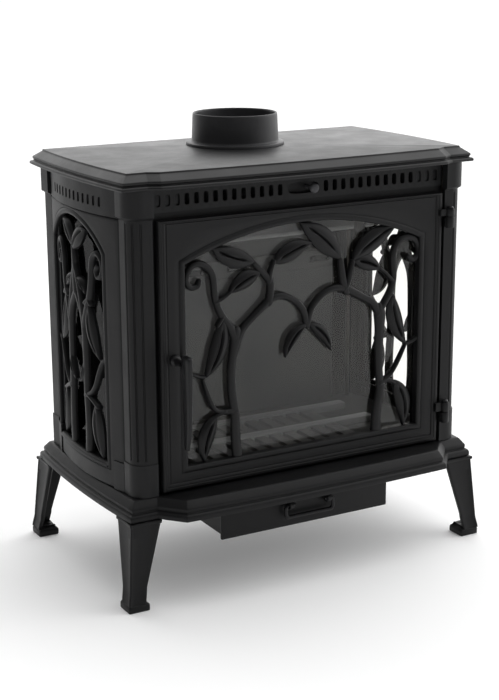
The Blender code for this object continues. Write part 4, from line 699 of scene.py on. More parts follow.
@dataclass(frozen=True)
class StoveGlass(Finish):
    """Clear glass-ceramic: it mirrors the room at a slant and carries a breath of soot haze."""

    clear: str = "#fcfcfb"
    soot: str = "#8b8880"
    haze: float = 0.05
    mirror_ior: float = 1.5

    def build(self, tree: bpy.types.NodeTree, output: bpy.types.Node) -> None:
        """Adds the finish's nodes.

        Args:
            tree: The material's node tree.
            output: The material's output node.
        """
        where = add(tree, "ShaderNodeTexCoord").outputs["Object"]
        cloud = add(tree, "ShaderNodeTexNoise", {"Scale": 9.0, "Detail": 4.0, "Roughness": 0.6},
                    {"Vector": where})
        amount = add(tree, "ShaderNodeMapRange", {"From Min": 0.35, "From Max": 0.75, "To Max": self.haze},
                     {"Value": cloud.outputs["Fac"]})
        through = add(tree, "ShaderNodeBsdfTransparent", {"Color": linear(self.clear)})
        mirror = add(tree, "ShaderNodeBsdfGlossy", {"Roughness": 0.03})
        slant = add(tree, "ShaderNodeFresnel", {"IOR": self.mirror_ior})
        inside = add(tree, "ShaderNodeNewGeometry").outputs["Backfacing"]
        outer = add(tree, "ShaderNodeMath", {0: 1.0}, {1: inside}, operation="SUBTRACT")
        share = add(tree, "ShaderNodeMath", None, {0: slant.outputs[0], 1: outer.outputs[0]},
                    operation="MULTIPLY")
        pane = add(tree, "ShaderNodeMixShader", None,
                   {0: share.outputs[0], 1: through.outputs[0], 2: mirror.outputs[0]})
        film = add(tree, "ShaderNodeBsdfDiffuse", {"Color": linear(self.soot)})
        hazed = add(tree, "ShaderNodeMixShader", None,
                    {0: amount.outputs["Result"], 1: pane.outputs[0], 2: film.outputs[0]})
        tree.links.new(hazed.outputs[0], output.inputs["Surface"])


@dataclass(frozen=True)
class GlassRope(Finish):
    """Braided glass-fibre seal: short slanting strands, pale grey and quite dull, with painted shade in the
    grooves between them.
    """

    strand: str = "#8d8a83"
    # Painted shade: the darker colour laid in the grooves between strands.
    groove_shade: str = "#3c3a37"
    strand_mm: float = 2.4

    def build(self, tree: bpy.types.NodeTree, output: bpy.types.Node) -> None:
        """Adds the finish's nodes.

        Args:
            tree: The material's node tree.
            output: The material's output node.
        """
        where = add(tree, "ShaderNodeTexCoord").outputs["Object"]
        braid = add(tree, "ShaderNodeTexWave", {"Scale": 1 / (self.strand_mm * MM) / 3.2, "Distortion": 1.2,
                                                "Detail": 2.0, "Detail Scale": 3.0}, {"Vector": where},
                    wave_type="BANDS", bands_direction="DIAGONAL")
        # Mixes the strand colour with the painted shade of the grooves.
        colour = add(tree, "ShaderNodeMix", {6: linear(self.groove_shade), 7: linear(self.strand)},
                     {0: braid.outputs["Fac"]}, data_type="RGBA")
        bump = add(tree, "ShaderNodeBump", {"Strength": 1.0, "Distance": 0.5 * MM},
                   {"Height": braid.outputs["Fac"]})
        shader = add(tree, "ShaderNodeBsdfPrincipled", {"Roughness": 0.92},
                     {"Base Color": colour.outputs[2], "Normal": bump.outputs["Normal"]})
        tree.links.new(shader.outputs[0], output.inputs["Surface"])


CASTING = PaintedIron("stove_paint_on_sand_cast_iron")
TOP_CASTING = PaintedIron("stove_paint_on_ground_top", roughness=0.46, gloss=0.30, grain_depth_mm=0.06,
                          ripple_depth_mm=0.2, ripple_mm=60.0)
# The collar's paint is a paler copy of the stove paint: painted light, for the light that the collar and its
# inside catch.
COLLAR = PaintedIron("collar_paint_with_painted_light", dark="#252527", pale="#2d2d2f", edge="#3c3c3d", gloss=0.4)
FOLIAGE = PaintedIron("stove_paint_on_cast_foliage", roughness=0.42, grain_depth_mm=0.12)
FIRE_IRON = PaintedIron("bare_grey_fire_casting", dark="#454546", pale="#4f4f50", edge="#5c5c5d",
                        roughness=0.62, grain_mm=14.0, grain_depth_mm=0.03, mottle_mm=90.0, gloss=0.4)
SHEET = PaintedIron("stove_paint_on_folded_sheet", dark="#101011", pale="#161617", roughness=0.48,
                    grain_mm=2.2, grain_depth_mm=0.03, ripple_mm=80.0, ripple_depth_mm=0.3)
HANDLE_PAINT = PaintedIron("satin_black_handle_lacquer", dark="#141415", pale="#1a1a1c", roughness=0.34,
                           grain_depth_mm=0.04, ripple_depth_mm=0.1)
STEEL = BareMetal("drawn_steel")
GLASS = StoveGlass("glass_ceramic_pane")
SIDE_GLASS = StoveGlass("glass_ceramic_side_pane", haze=0.02, mirror_ior=1.12)
# The left pane lets less light through than the right: painted shade, which darkens the view through the left
# window.
SHADED_SIDE_GLASS = StoveGlass("left_side_pane_painted_shade", clear="#a8a8a8", haze=0.01, mirror_ior=1.12)
# A paler copy of the grey fire iron for the grate bars and the baffle: painted highlight for the light their
# fronts and edges reflect.
PALE_IRON_PAINTED_HIGHLIGHT = PaintedIron("grey_iron_with_painted_highlight", dark="#7c7d7e", pale="#8a8b8c", edge="#a2a3a4", roughness=0.55,
                       grain_mm=4.0, grain_depth_mm=0.03, mottle_mm=90.0, gloss=0.4)
ROPE = GlassRope("braided_glass_fibre_seal")


class Slot(Enum):
    """Material slots of the record."""

    CAST_IRON = "cast_iron"
    FIRE_PLATE = "fire_plate"
    DARK_STEEL = "dark_steel"
    STEEL = "steel"
    GLASS = "glass"
    ROPE = "rope"


class Body(Enum):
    """Rigid bodies of the frame."""

    STOVE = "stove"
    DOOR = "door"
    LATCH = "latch"
    AIR_SLIDER = "air_slider"
    ASH_DRAWER = "ash_drawer"
    DRAWER_BAIL = "drawer_bail"


# ------------------------------------------------------------------ pieces
@dataclass
class Box:
    """A node's box in the frame."""

    low: Array
    high: Array

    @classmethod
    def of(cls, node: str) -> "Box":
        """Reads a node's box."""
        low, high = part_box(node)
        return cls(np.array(low), np.array(high))

    @property
    def middle(self) -> Array:
        """The box's centre."""
        return (self.low + self.high) / 2

    @property
    def size(self) -> Array:
        """The box's whole width, depth and height."""
        return self.high - self.low


class SubAssembly:
    """A group of pieces. Each group's `build` makes them and hands them to `fit`."""

    crease = math.radians(34)

    def build(self) -> None:
        """Makes the group's pieces."""
        raise NotImplementedError

    def fit(self, name: str, shells: Sequence[Shell], finish: Finish, body: Body, slot: Slot,
            stands_for: Sequence[str] = ()) -> bpy.types.Object:
        """Makes one object of some skins, dresses it and hangs it on its body.

        Args:
            name: The piece's name.
            shells: Its closed skins.
            finish: Its finish.
            body: The body it moves with.
            slot: The record's material slot; not used.
            stands_for: CAD nodes it replaces.

        Returns:
            The new object.
        """
        starts = np.cumsum([0] + [len(s.points) for s in shells])
        points = np.concatenate([s.points for s in shells])
        faces = [face for s, start in zip(shells, starts) for face in (s.quads + start).tolist()]
        faces += [(cap + start).tolist() for s, start in zip(shells, starts) for cap in s.caps]
        mesh = bpy.data.meshes.new(name)
        mesh.from_pydata(points.tolist(), [], faces)
        mesh.shade_smooth()
        mesh.set_sharp_from_angle(angle=self.crease)
        mesh.materials.append(finish.material())
        made = bpy.data.objects.new(name, mesh)
        bpy.context.scene.collection.objects.link(made)
        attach(made, body.value)
        if stands_for:
            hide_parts(*stands_for)
        LOG.info("%s: %d faces, %s", name, len(faces), finish.name)
        return made

    def dress(self, finish: Finish, *nodes: str) -> None:
        """Gives CAD nodes a finish.

        Args:
            finish: The finish.
            nodes: The nodes' names.
        """
        for node in nodes:
            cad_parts[node].material_slots[0].material = finish.material()
            LOG.info("%s dressed in %s", node, finish.name)


# ------------------------------------------------------------------ top and base
@dataclass
class PlatePlan:
    """Plan of the top or the base: bowed sides, a square ear at each front corner, a bowed nose."""

    half: float         # half width across the ears
    front: float        # y of the ears' front edge
    rear: float
    bow: float          # how far the sides swell at their middle
    ear: float          # width of an ear
    cut: float          # width of the slanted face beside an ear
    reach: float        # the nose's corners stand this far in front of the ears
    crown: float        # and the nose's middle this far in front of its corners

    def outline(self) -> Array:
        """Returns the plan, counter-clockwise from above.

        A side at share t of its length swells by bow (1 - (2t - 1)2), and the nose at share t of
        its half width by crown (1 - t2).
        """
        t = np.linspace(0, 1, 19)
        side = np.column_stack([self.half + self.bow * (1 - (2 * t - 1) ** 2),
                                self.rear + (self.front - self.rear) * t])
        notch = [[self.half - self.ear, self.front]]
        s = np.linspace(1, 0, 11)
        nose = np.column_stack([(self.half - self.ear - self.cut) * s,
                                self.front - self.reach - self.crown * (1 - s**2)])
        right = np.vstack([side, notch, nose])
        return np.vstack([right, (right * [-1, 1])[-2::-1]])[::-1]


@dataclass
class Top(SubAssembly):
    """The top casting with its stepped edge moulding, and the flue collar."""

    ear: float = 0.046
    cut: float = 0.018
    reach: float = 0.0150
    corner_reach: float = 0.0105    # the plan's reach, where the nose meets its corners
    crown: float = 0.0085
    bow: float = 0.010
    soften: float = 0.0010
    hole_radius: float = 0.071
    edge: Route = ((-34, 0), (-2.4, 0), (-0.9, 0.4), (-0.2, 1.3), (0, 2.6), (-0.2, 4.0), (-1.0, 5.3),
                   (-2.2, 6.1), (-4.6, 6.6), (-5.8, 7.2), (-6.1, 8.2), (-5.4, 9.2), (-4.7, 9.9), (-4.5, 10.8),
                   (-4.5, 12.8), (-4.8, 13.6), (-5.6, 14.2), (-17.4, 22.8), (-18.4, 23.4), (-18.9, 24.0),
                   (-19.1, 25.4), (-19.6, 26.2), (-20.6, 26.5))
    collar: Route = ((87.0, 0.0), (87.0, 2.6), (86.4, 4.2), (84.8, 5.0), (80.0, 5.2), (78.2, 5.8),
                     (77.3, 7.2),
                     (77.0, 9.0), (75.2, 50.6), (74.9, 53.4), (74.3, 54.8), (73.2, 55.2), (72.2, 54.8),
                     (71.4, 53.6), (71.0, 51.6), (71.0, 0.0))

    def build(self) -> None:
        """Makes the top plate and the collar."""
        box = Box.of("top_plate")
        flue = Box.of("flue_collar")
        plan = PlatePlan(box.high[0] - self.bow, box.low[1] + self.reach, box.high[1], self.bow,
                         self.ear, self.cut, self.corner_reach, self.crown).outline()
        plate = moulded_round_hole(plan, self.edge, self.soften, flue.middle[:2],
                                   lambda ray: np.full(len(ray), self.hole_radius))
        self.fit("top", [plate.carried(at(0, 0, box.low[2]))], TOP_CASTING, Body.STOVE, Slot.CAST_IRON,
                 ["top_plate"])
        collar = turned(self.collar, 96, Close.LOOP)
        self.fit("flue_spigot", [collar.carried(at(flue.middle[0], flue.middle[1], flue.low[2]))], COLLAR,
                 Body.STOVE, Slot.CAST_IRON, ["flue_collar"])


@dataclass
class Base(SubAssembly):
    """The base casting with its two-tier moulding and hearth, and the four cabriole legs."""

    ear: float = 0.048
    cut: float = 0.034
    reach: float = 0.0400
    crown: float = 0.0060
    bow: float = 0.010
    soften: float = 0.0012
    pit_half: tuple[float, float] = (0.149, 0.089)
    ankle_in: float = 0.0042        # the leg's outer corner stands in by this at the ankle
    top_in: float = 0.0130          # and by this under the base
    ankle_width: float = 0.0315
    spread: float = 0.0240          # the leg is this much wider under the base than at the ankle
    pad_side: float = 0.0385
    edge: Route = ((-34, 0), (-1.8, 0), (-0.5, 0.5), (0, 1.8), (0, 6.2), (-0.4, 8.4), (-1.6, 10.6),
                   (-3.2, 11.9),
                   (-4.8, 12.3), (-6.0, 12.7), (-6.6, 13.6), (-6.4, 15.0), (-6.0, 16.4), (-6.0, 19.6),
                   (-6.5, 21.0), (-8.0, 23.0), (-13.6, 30.2), (-15.0, 31.6), (-16.6, 32.6), (-18.4, 33.0))
    legs: Sequence[tuple[str, int, int]] = (("front_left", -1, -1), ("front_right", 1, -1),
                                            ("rear_left", -1, 1), ("rear_right", 1, 1))

    def build(self) -> None:
        """Makes the base plate and its legs."""
        box = Box.of("base_plate")
        plan = PlatePlan(box.high[0] - self.bow, box.low[1] + self.reach + self.crown, box.high[1], self.bow,
                         self.ear, self.cut, self.reach, self.crown).outline()
        plate = moulded_round_hole(plan, self.edge, self.soften, Box.of("grate").middle[:2],
                                   lambda ray: (self.pit_half / np.maximum(np.abs(ray), 1e-6)).min(1))
        self.fit("base", [plate.carried(at(0, 0, box.low[2]))], CASTING, Body.STOVE, Slot.CAST_IRON,
                 ["base_plate"])
        for corner, x_sign, y_sign in self.legs:
            self.leg("leg_" + corner, x_sign, y_sign)

    def leg(self, node: str, x_sign: int, y_sign: int) -> None:
        """Makes one leg.

        Its section is an angle whose arm length is its width.  From the foot up, the outer corner
        goes in along a smooth step to the ankle, and then in and wider along a straight line.

        Args:
            node: The CAD node it replaces.
            x_sign: The side it stands on.
            y_sign: Front (-1) or rear (1).
        """
        box = Box.of(node)
        foot = np.array([abs(box.low[0]), abs(box.high[0])]).max()
        foot_y = box.low[1] if y_sign < 0 else box.high[1]
        top_in, ankle_in = self.top_in, self.ankle_in
        z = np.linspace(0.0125, box.high[2] - 0.006, 40)
        share = ramp(z, 0.010, 0.040)
        upper = np.clip((z - 0.040) / (box.high[2] - 0.040), 0, 1)
        inward = ankle_in * share + (top_in - ankle_in) * upper
        width = self.ankle_width + self.spread * upper
        base, slope = self.angle_section()
        section = base[None] + slope[None] * width[:, None, None]
        stem = np.concatenate([inward[:, None, None] + section, np.broadcast_to(
            z[:, None, None], section.shape[:2] + (1,))], 2)
        cap_width = width[-1] + 0.0035
        cap_rings = []
        for grow, height in ((-0.0015, -0.0062), (0.0, -0.0056), (0.0006, -0.0044), (0.0006, -0.0014),
                             (0.0, -0.0004)):
            ring = base + slope * (cap_width + grow)
            cap_rings.append(level(ring + top_in - 0.0022 - grow, box.high[2] + height))
        side = self.pad_side
        pad = rounded([(0, 0), (side, 0), (side, side), (0, side)], 0.0045, 4)
        pad_rings = [level(grown(pad, g * MM), h * MM) for g, h in (
            (-1.6, 0), (-0.5, 0.6), (0, 1.8), (0, 9.0), (-0.5, 10.8), (-1.6, 12.0), (-4.2, 13.2),
            (-6.2, 15.2),
            (-7.4, 18.0))]

        def stand(p: Array) -> Array:
            """Measures from the foot's outer corner."""
            return np.column_stack([x_sign * (foot - p[:, 0]), foot_y - y_sign * p[:, 1], p[:, 2]])

        self.fit("cabriole_" + node, [skin(stem).carried(stand), skin(np.stack(cap_rings)).carried(stand),
                                      skin(np.stack(pad_rings)).carried(stand)],
                 CASTING, Body.STOVE, Slot.CAST_IRON, [node])

    @staticmethod
    def angle_section() -> tuple[Array, Array]:
        """An angle with a beaded outer corner and hollow faces.

        Returns:
            A section for arm length 0, and what each point gains per metre of arm, both (n, 2).
        """
        outer = np.array([(0.0, 2.6), (0.1, 1.3), (0.45, 0.45), (1.3, 0.1), (2.6, 0.0), (3.6, 0.5),
                          (4.4, 1.1)]) * MM
        run = np.array([0.32, 0.5, 0.68, 0.82, 0.92, 0.97, 1.0, 1.0, 0.97])
        dip = np.array([1.7, 1.9, 1.7, 1.2, 0.6, 0.7, 1.7, 7.0, 8.6]) * MM
        arm = np.column_stack([np.zeros(9), dip])
        gain = np.column_stack([run, np.zeros(9)])
        inner = np.array([(12.0, 8.6), (9.6, 9.6), (8.6, 12.0)]) * MM
        base = np.vstack([outer, arm, inner, arm[::-1, ::-1], [(1.1 * MM, 4.4 * MM), (0.5 * MM, 3.6 * MM)]])
        slope = np.vstack([np.zeros((7, 2)), gain, np.zeros((3, 2)), gain[::-1, ::-1], np.zeros((2, 2))])
        return base, slope


# ------------------------------------------------------------------ body castings
@dataclass
class Columns(SubAssembly):
    """Four corner columns: a fluted quarter-round shaft between a plinth and a capital."""

    turn: float = 0.024
    rear_turn: float = 0.004
    wall: float = 0.008
    flute_half: float = 0.0021
    flute_depth: float = 0.0022
    capital_stand: float = 0.006
    plinth_stand: float = 0.002
    plinth: float = 0.056
    capital: float = 0.045
    names: Sequence[tuple[str, int, int]] = (("front_left", -1, -1), ("front_right", 1, -1),
                                             ("rear_left", -1, 1), ("rear_right", 1, 1))

    def build(self) -> None:
        """Makes the columns."""
        centre_y = Box.of("side_panel_left").middle[1]
        for corner, x_sign, y_sign in self.names:
            node = "column_" + corner
            box = Box.of(node)
            inner_x = np.abs(box.low[0]) if x_sign > 0 else np.abs(box.high[0])
            side = max(abs(box.low[0]), abs(box.high[0])) - self.capital_stand
            ends = (box.low[1] - centre_y) * y_sign, (box.high[1] - centre_y) * y_sign
            face = max(ends) - self.capital_stand
            turn, depth = (self.turn, self.flute_depth) if y_sign < 0 else (self.rear_turn, 0.0)
            shell = self.shaft(inner_x, side, face, min(ends), box.low[2], box.high[2], turn, depth)

            def stand(p: Array, sx: int = x_sign, sy: int = y_sign) -> Array:
                """Mirrors the column to its corner."""
                return np.column_stack([sx * p[:, 0], centre_y + sy * p[:, 1], p[:, 2]])

            self.fit("corner_" + node, [shell.carried(stand)], CASTING, Body.STOVE, Slot.CAST_IRON, [node])

    def shaft(self, inner_x: float, side: float, face: float, inner_y: float, low: float,
              high: float, turn: float, flute_depth: float) -> Shell:
        """One column in the quarter where x and depth are positive.

        Its plan runs straight across the face, round a quarter circle and down the side.  Three
        U-shaped flutes are cut along the quarter circle, depth (1 - (s / half width)2).

        Args:
            inner_x: The face's inner edge.
            side: The side face.
            face: The front or rear face.
            inner_y: The side's inner edge.
            low: The foot.
            high: The head.
            turn: Radius of the outer corner.
            flute_depth: Depth of the flutes.

        Returns:
            The capped column.
        """
        flat = side - turn - inner_x
        arc = turn * np.pi / 2
        down = face - turn - inner_y
        s = np.concatenate([np.linspace(0, flat, 5)[:-1], flat + np.linspace(0, arc, 64)[:-1],
                            flat + arc + np.linspace(0, down, 6)])
        a = np.clip((s - flat) / turn, 0, np.pi / 2)
        spot = np.column_stack([
            np.where(s < flat, inner_x + s, side - turn + turn * np.sin(a)),
            np.where(s > flat + arc, face - turn - (s - flat - arc), face - turn + turn * np.cos(a))])
        normal = np.column_stack([np.sin(a), np.cos(a)])
        middles = flat + arc * np.array([0.14, 0.5, 0.86])
        near = np.abs(s[:, None] - middles).min(1)
        flute = flute_depth * np.clip(1 - (near / self.flute_half) ** 2, 0, 1)
        ball = ((self.plinth_stand, 0.0, 0), (self.plinth_stand, self.plinth - 0.0014, 0),
                (self.plinth_stand * 0.6, self.plinth - 0.0004, 0), (0.0, self.plinth, 0),
                (0.0, self.plinth + 0.006, 0), (0.0, self.plinth + 0.0075, 0.7),
                (0.0, self.plinth + 0.010, 1))
        top = high - low
        head = ((0.0, top - self.capital - 0.010, 1), (0.0, top - self.capital - 0.0075, 0.7),
                (0.0, top - self.capital - 0.006, 0), (0.0, top - self.capital - 0.0028, 0),
                (0.0010, top - self.capital - 0.0020, 0), (0.0022, top - self.capital - 0.0006, 0),
                (0.0050, top - self.capital + 0.0006, 0), (0.0060, top - self.capital + 0.0020, 0),
                (0.0060, top, 0))
        rings = []
        for grow, z, cut in ball + head:
            outer = spot + normal * (grow - flute * cut)[:, None]
            outer[s <= 0, 0] = inner_x
            inside = spot - normal * self.wall
            rings.append(level(np.vstack([outer, inside[::-1]]), low + z))
        return skin(np.stack(rings))


@dataclass
class FrontFrame(SubAssembly):
    """The fixed front casting: a row of vents over the frame that the door closes on."""

    pitch: float = 0.0172
    first: float = 0.0444
    open_vents: int = 11
    blind_vents: int = 3
    vent_half: float = 0.0043
    vent_rise: float = 0.0090
    vent_drop: float = 0.0207
    knob_slot_half: float = 0.029
    header: float = 0.0397
    set_back: float = 0.004
    blind_depth: float = 0.0030
    hole_half: float = 0.246
    hole_foot: float = 0.206
    hole_apex: float = 0.624
    hole_rise: float = 0.049
    notch: float = 0.012

    def build(self) -> None:
        """Makes the header strip, its blind vents and the frame below as one piece."""
        box = Box.of("front_frame")
        thick = box.size[1]
        seam = box.high[2] - self.header
        steps = self.first + self.pitch * np.arange(self.open_vents + self.blind_vents)
        middles = np.concatenate([-steps[::-1], [0], steps])
        cell_half = np.full(len(middles), self.pitch / 2)
        cell_half[len(steps)] = self.first - self.pitch / 2
        slot_half = np.full(len(middles), self.vent_half)
        slot_half[len(steps)] = self.knob_slot_half
        vent_z = box.high[2] - self.vent_drop
        strip = slotted_strip(middles, cell_half, slot_half, seam, box.high[2], vent_z, self.vent_rise, thick)
        end = steps[-1] + self.pitch / 2
        width = box.high[0] - end
        ends = [block((width, thick, self.header), 0.0004).carried(
            at(s * (end + width / 2), box.middle[1], seam + self.header / 2)) for s in (-1, 1)]
        blind_from = self.first + self.pitch * (self.open_vents - 0.5)
        blind = [block((end - blind_from - 0.0004, thick - self.blind_depth, 2 * self.vent_rise + 0.003),
                       0.0003).carried(at(s * (end + blind_from) / 2, box.middle[1] + self.blind_depth / 2,
                                          vent_z)) for s in (-1, 1)]
        panel = ArchedPanel(self.hole_half, self.hole_foot, self.hole_apex, self.hole_rise, side_points=40)
        hole = panel.opening()
        spindle_z = Box.of("latch_spindle").middle[2]
        near = ramp(hole[:, 1], spindle_z - 0.016, spindle_z - 0.013) * (
            1 - ramp(hole[:, 1], spindle_z + 0.013, spindle_z + 0.016))
        hole[:, 0] -= np.where(hole[:, 0] < -self.hole_half + 0.001, near * self.notch, 0)
        deep = thick - self.set_back
        rim = [(panel.border(box.high[0] - g, box.low[2] + g, seam - 0.0001 - g), w)
               for g, w in ((0.0008, deep), (0.0, deep - 0.0008), (0.0, 0.0))]
        below = panel.ring([(0, 0), (0, deep / MM - 0.8), (0.8, deep / MM)], rim, opening=hole)
        front = facing_front(box.high[1])
        self.fit("front_casting", [strip.carried(front), below.carried(front), *ends, *blind], CASTING,
                 Body.STOVE, Slot.CAST_IRON, ["front_frame"])


@dataclass
class Side(SubAssembly):
    """One bowed side: an arched and moulded panel, its blind vent row, and the foliage casting in it."""

    x_sign: int
    bow: float = 0.020
    wall: float = 0.0085
    pattern_half: float = 0.097     # half width that the foliage's routes are drawn for
    rearward: float = 0.004         # the opening is this much wider and further back than the casting's box
    stout: float = 1.30             # limbs are drawn thicker than their routes say, leaves by its root
    arch_rise: float = 0.052
    header: float = 0.049
    vents: int = 12
    vent_pitch: float = 0.0165
    vent_half: float = 0.0032
    vent_rise: float = 0.0078
    vent_depth: float = 0.0024
    moulding: Route = ((0, 0), (0, 6.4), (0.5, 7.7), (1.6, 8.9), (3.4, 9.7), (5.6, 9.8), (7.4, 9.2),
                       (8.6, 8.4),
                       (9.3, 7.6), (9.8, 7.5), (10.6, 8.3), (11.6, 8.5))
    trunk: Sequence[Route] = (
        ((-30, -3, 14), (-32, 50, 12), (-29, 110, 11), (-29, 170, 11), (-27, 222, 12), (-20, 246, 12),
         (-8, 264, 11), (0, 276, 10)),
        ((-28, 222, 12), (-38, 250, 11), (-48, 276, 10), (-53, 300, 9), (-56, 326, 9), (-62, 344, 9),
         (-74, 351, 8), (-85, 343, 8), (-88, 328, 7), (-83, 314, 7), (-74, 312, 7), (-70, 322, 7),
         (-74, 329, 7)),
        ((-26, 236, 9), (-20, 262, 9), (-13, 286, 9), (-6, 306, 9), (0, 318, 10)),
        ((-96, 176, 6), (-84, 170, 7), (-72, 150, 7), (-60, 124, 7), (-46, 108, 7), (-30, 100, 9)),
        ((-66, 88, 7), (-50, 96, 7), (-32, 104, 8)),
        ((-52, 262, 7), (-45, 268, 7), (-36, 262, 8)))
    leaves: Sequence[tuple] = (
        ((-47, 262), (-76, 172), 26, 0.10), ((-62, 94), (-78, 0), 28, 0.08),
        ((-8, 300), (-38, 276), 15, -0.1),
        ((-27, 160), (-8, 118), 15, -0.12))
    crown_leaves: Sequence[tuple] = (((2, 344), (-44, 386), 25, -0.12), ((6, 350), (48, 392), 27, 0.12))
    crown: Sequence[Route] = (((0, 274, 11), (1, 300, 11), (2, 330, 10), (5, 352, 8)),)

    def build(self) -> None:
        """Makes the panel and the foliage."""
        name = "left" if self.x_sign < 0 else "right"
        node = "side_panel_" + name
        box = Box.of(node)
        centre_y = box.middle[1]
        half = box.size[1] / 2
        inner = abs(box.high[0]) if self.x_sign < 0 else abs(box.low[0])
        hole = Box.of("side_grille_" + name)
        open_half = hole.size[1] / 2 + self.rearward
        shift = hole.middle[1] + self.rearward - centre_y
        low, high = box.low[2], box.high[2]
        seam = high - self.header
        open_foot = hole.low[2] - 0.0003
        panel = ArchedPanel(open_half, open_foot, hole.high[2] + 0.0003, self.arch_rise,
                            foot_points=10, side_points=16)
        opening = panel.opening() + [shift, 0]

        def bowed(p: Array) -> Array:
            """Lays (across, up, out) on the bowed side: it swells by bow (1 - (y / half)2)."""
            swell = self.bow * (1 - np.clip(np.abs(p[:, 0]) / half, 0, 1) ** 2)
            return np.column_stack([self.x_sign * (inner + p[:, 2] + swell), centre_y + p[:, 0], p[:, 1]])

        rim = [(panel.border(half - g, low + g, seam - g), w)
               for g, w in ((0.0035, self.wall), (0.0018, self.wall - 0.0005), (0.0006, self.wall - 0.0016),
                            (0.0, self.wall - 0.0034), (0.0, 0.0))]
        ring = panel.ring(self.moulding, rim, spans=6, opening=opening)
        middles = (np.arange(self.vents) - (self.vents - 1) / 2) * self.vent_pitch
        vent_z = seam + 0.022
        strip_low, strip_high = seam + 0.0006, high
        strip = slotted_strip(middles, np.full(self.vents, self.vent_pitch / 2),
                              np.full(self.vents, self.vent_half), strip_low, strip_high, vent_z,
                              self.vent_rise,
                              self.wall)
        end = self.vents * self.vent_pitch / 2
        cheeks = [self.slab(s * end, s * (half - 0.001), strip_low, strip_high, 0, self.wall)
                  for s in (-1, 1)]
        backing = self.slab(-end + 0.001, end - 0.001, vent_z - 0.012, vent_z + 0.012, 0.0004,
                            self.wall - self.vent_depth)
        sill = self.sill(open_foot, open_half, shift)
        feet = [self.slab(s * 0.112, s * (half - 0.0006), low, low + 0.050, 0.004, self.wall + 0.0022)
                for s in (-1, 1)]
        ribs = [self.slab(s * y, s * (y + 0.006), low + 0.01, seam - 0.012, -0.003, 0.002)
                for s in (-1, 1) for y in (0.103, 0.114, 0.125)]
        self.fit("side_casting_" + name,
                 [s.carried(bowed) for s in (ring, strip, *cheeks, backing, sill, *feet, *ribs)],
                 CASTING, Body.STOVE, Slot.CAST_IRON, [node])

        def planted(p: Array) -> Array:
            """Lays the foliage in the opening, set back from the panel's face."""
            return bowed(p * [open_half / self.pattern_half, 1, 1] + [shift, open_foot, self.wall - 0.013])

        def other(p: Array) -> Array:
            """Mirrors the foliage from one end of the side to the other."""
            return planted(p * [-1, 1, 1])

        depth = 0.0105
        thick, broad = np.array([1, 1, self.stout]), np.sqrt(self.stout)
        pair = [limb(np.array(route) * thick, depth) for route in self.trunk]
        pair += [leaf(b, t, w * broad, depth * 1.12, bend) for b, t, w, bend in self.leaves]
        middle = [limb(np.array(route) * thick, depth) for route in self.crown]
        middle += [leaf(b, t, w * broad, depth * 1.15, bend) for b, t, w, bend in self.crown_leaves]
        grown_in = [s.carried(planted) for s in pair + middle] + [s.carried(other) for s in pair]
        self.fit("side_foliage_" + name, grown_in, FOLIAGE, Body.STOVE, Slot.CAST_IRON,
                 ["side_grille_" + name])

    def slab(self, start: float, end: float, low: float, high: float, back: float, front: float) -> Shell:
        """A flat-sided slab along the side, cut every few millimetres so that it can be bowed.

        Args:
            start: One end along the side.
            end: The other end.
            low: Its foot.
            high: Its head.
            back: Its inner face.
            front: Its outer face.

        Returns:
            The capped slab, still flat.
        """
        near, far = min(start, end), max(start, end)
        soft = 0.0006
        section = np.array([(low, back), (high, back), (high, front - soft), (high - soft, front),
                            (low + soft, front), (low, front - soft)])
        across = np.linspace(near, far, max(int((far - near) / 0.008), 1) + 1)
        rings = np.stack([np.column_stack([np.full(6, y), section]) for y in across])
        return skin(rings)

    def sill(self, foot: float, half: float, shift: float) -> Shell:
        """A ledge that slopes out under the opening.

        Args:
            foot: The opening's foot.
            half: Half the opening's width.
            shift: The opening's middle along the side.

        Returns:
            The capped ledge, still flat.
        """
        section = np.array([(foot - 0.004, 0.0), (foot + 0.0005, 0.0), (foot + 0.0005, 0.005),
                            (foot - 0.0045, 0.0110), (foot - 0.0065, 0.0112), (foot - 0.0080, 0.0085)])
        across = shift + np.linspace(-half - 0.003, half + 0.003, 25)
        return skin(np.stack([np.column_stack([np.full(6, y), section]) for y in across]))


@dataclass
class Rear(SubAssembly):
    """The rear casting: a flat field inside a raised border, with two stiffening ribs."""

    field_edge: Route = ((0, 0), (0, 6.6), (-0.5, 7.6), (-1.4, 8.0), (-16, 8.0), (-17.2, 7.6), (-18.6, 5.8),
                         (-19.8, 5.2))

    def build(self) -> None:
        """Makes the panel."""
        box = Box.of("rear_panel")
        plan = dense(rectangle(box.high[0], box.low[2], box.high[2], 0.002), 0.03)
        plate = moulded(plan, self.field_edge)
        ribs = [block((box.size[0] - 0.05, 0.005, 0.010), 0.0018).carried(
            at(0, box.high[1] - 0.0028, box.low[2] + box.size[2] * share)) for share in (0.33, 0.67)]

        def stand(p: Array) -> Array:
            """Turns the plate to face the rear."""
            return np.column_stack([p[:, 0], box.low[1] + p[:, 2], p[:, 1]])

        self.fit("rear_casting", [plate.carried(stand), *ribs], CASTING, Body.STOVE, Slot.CAST_IRON,
                 ["rear_panel"])


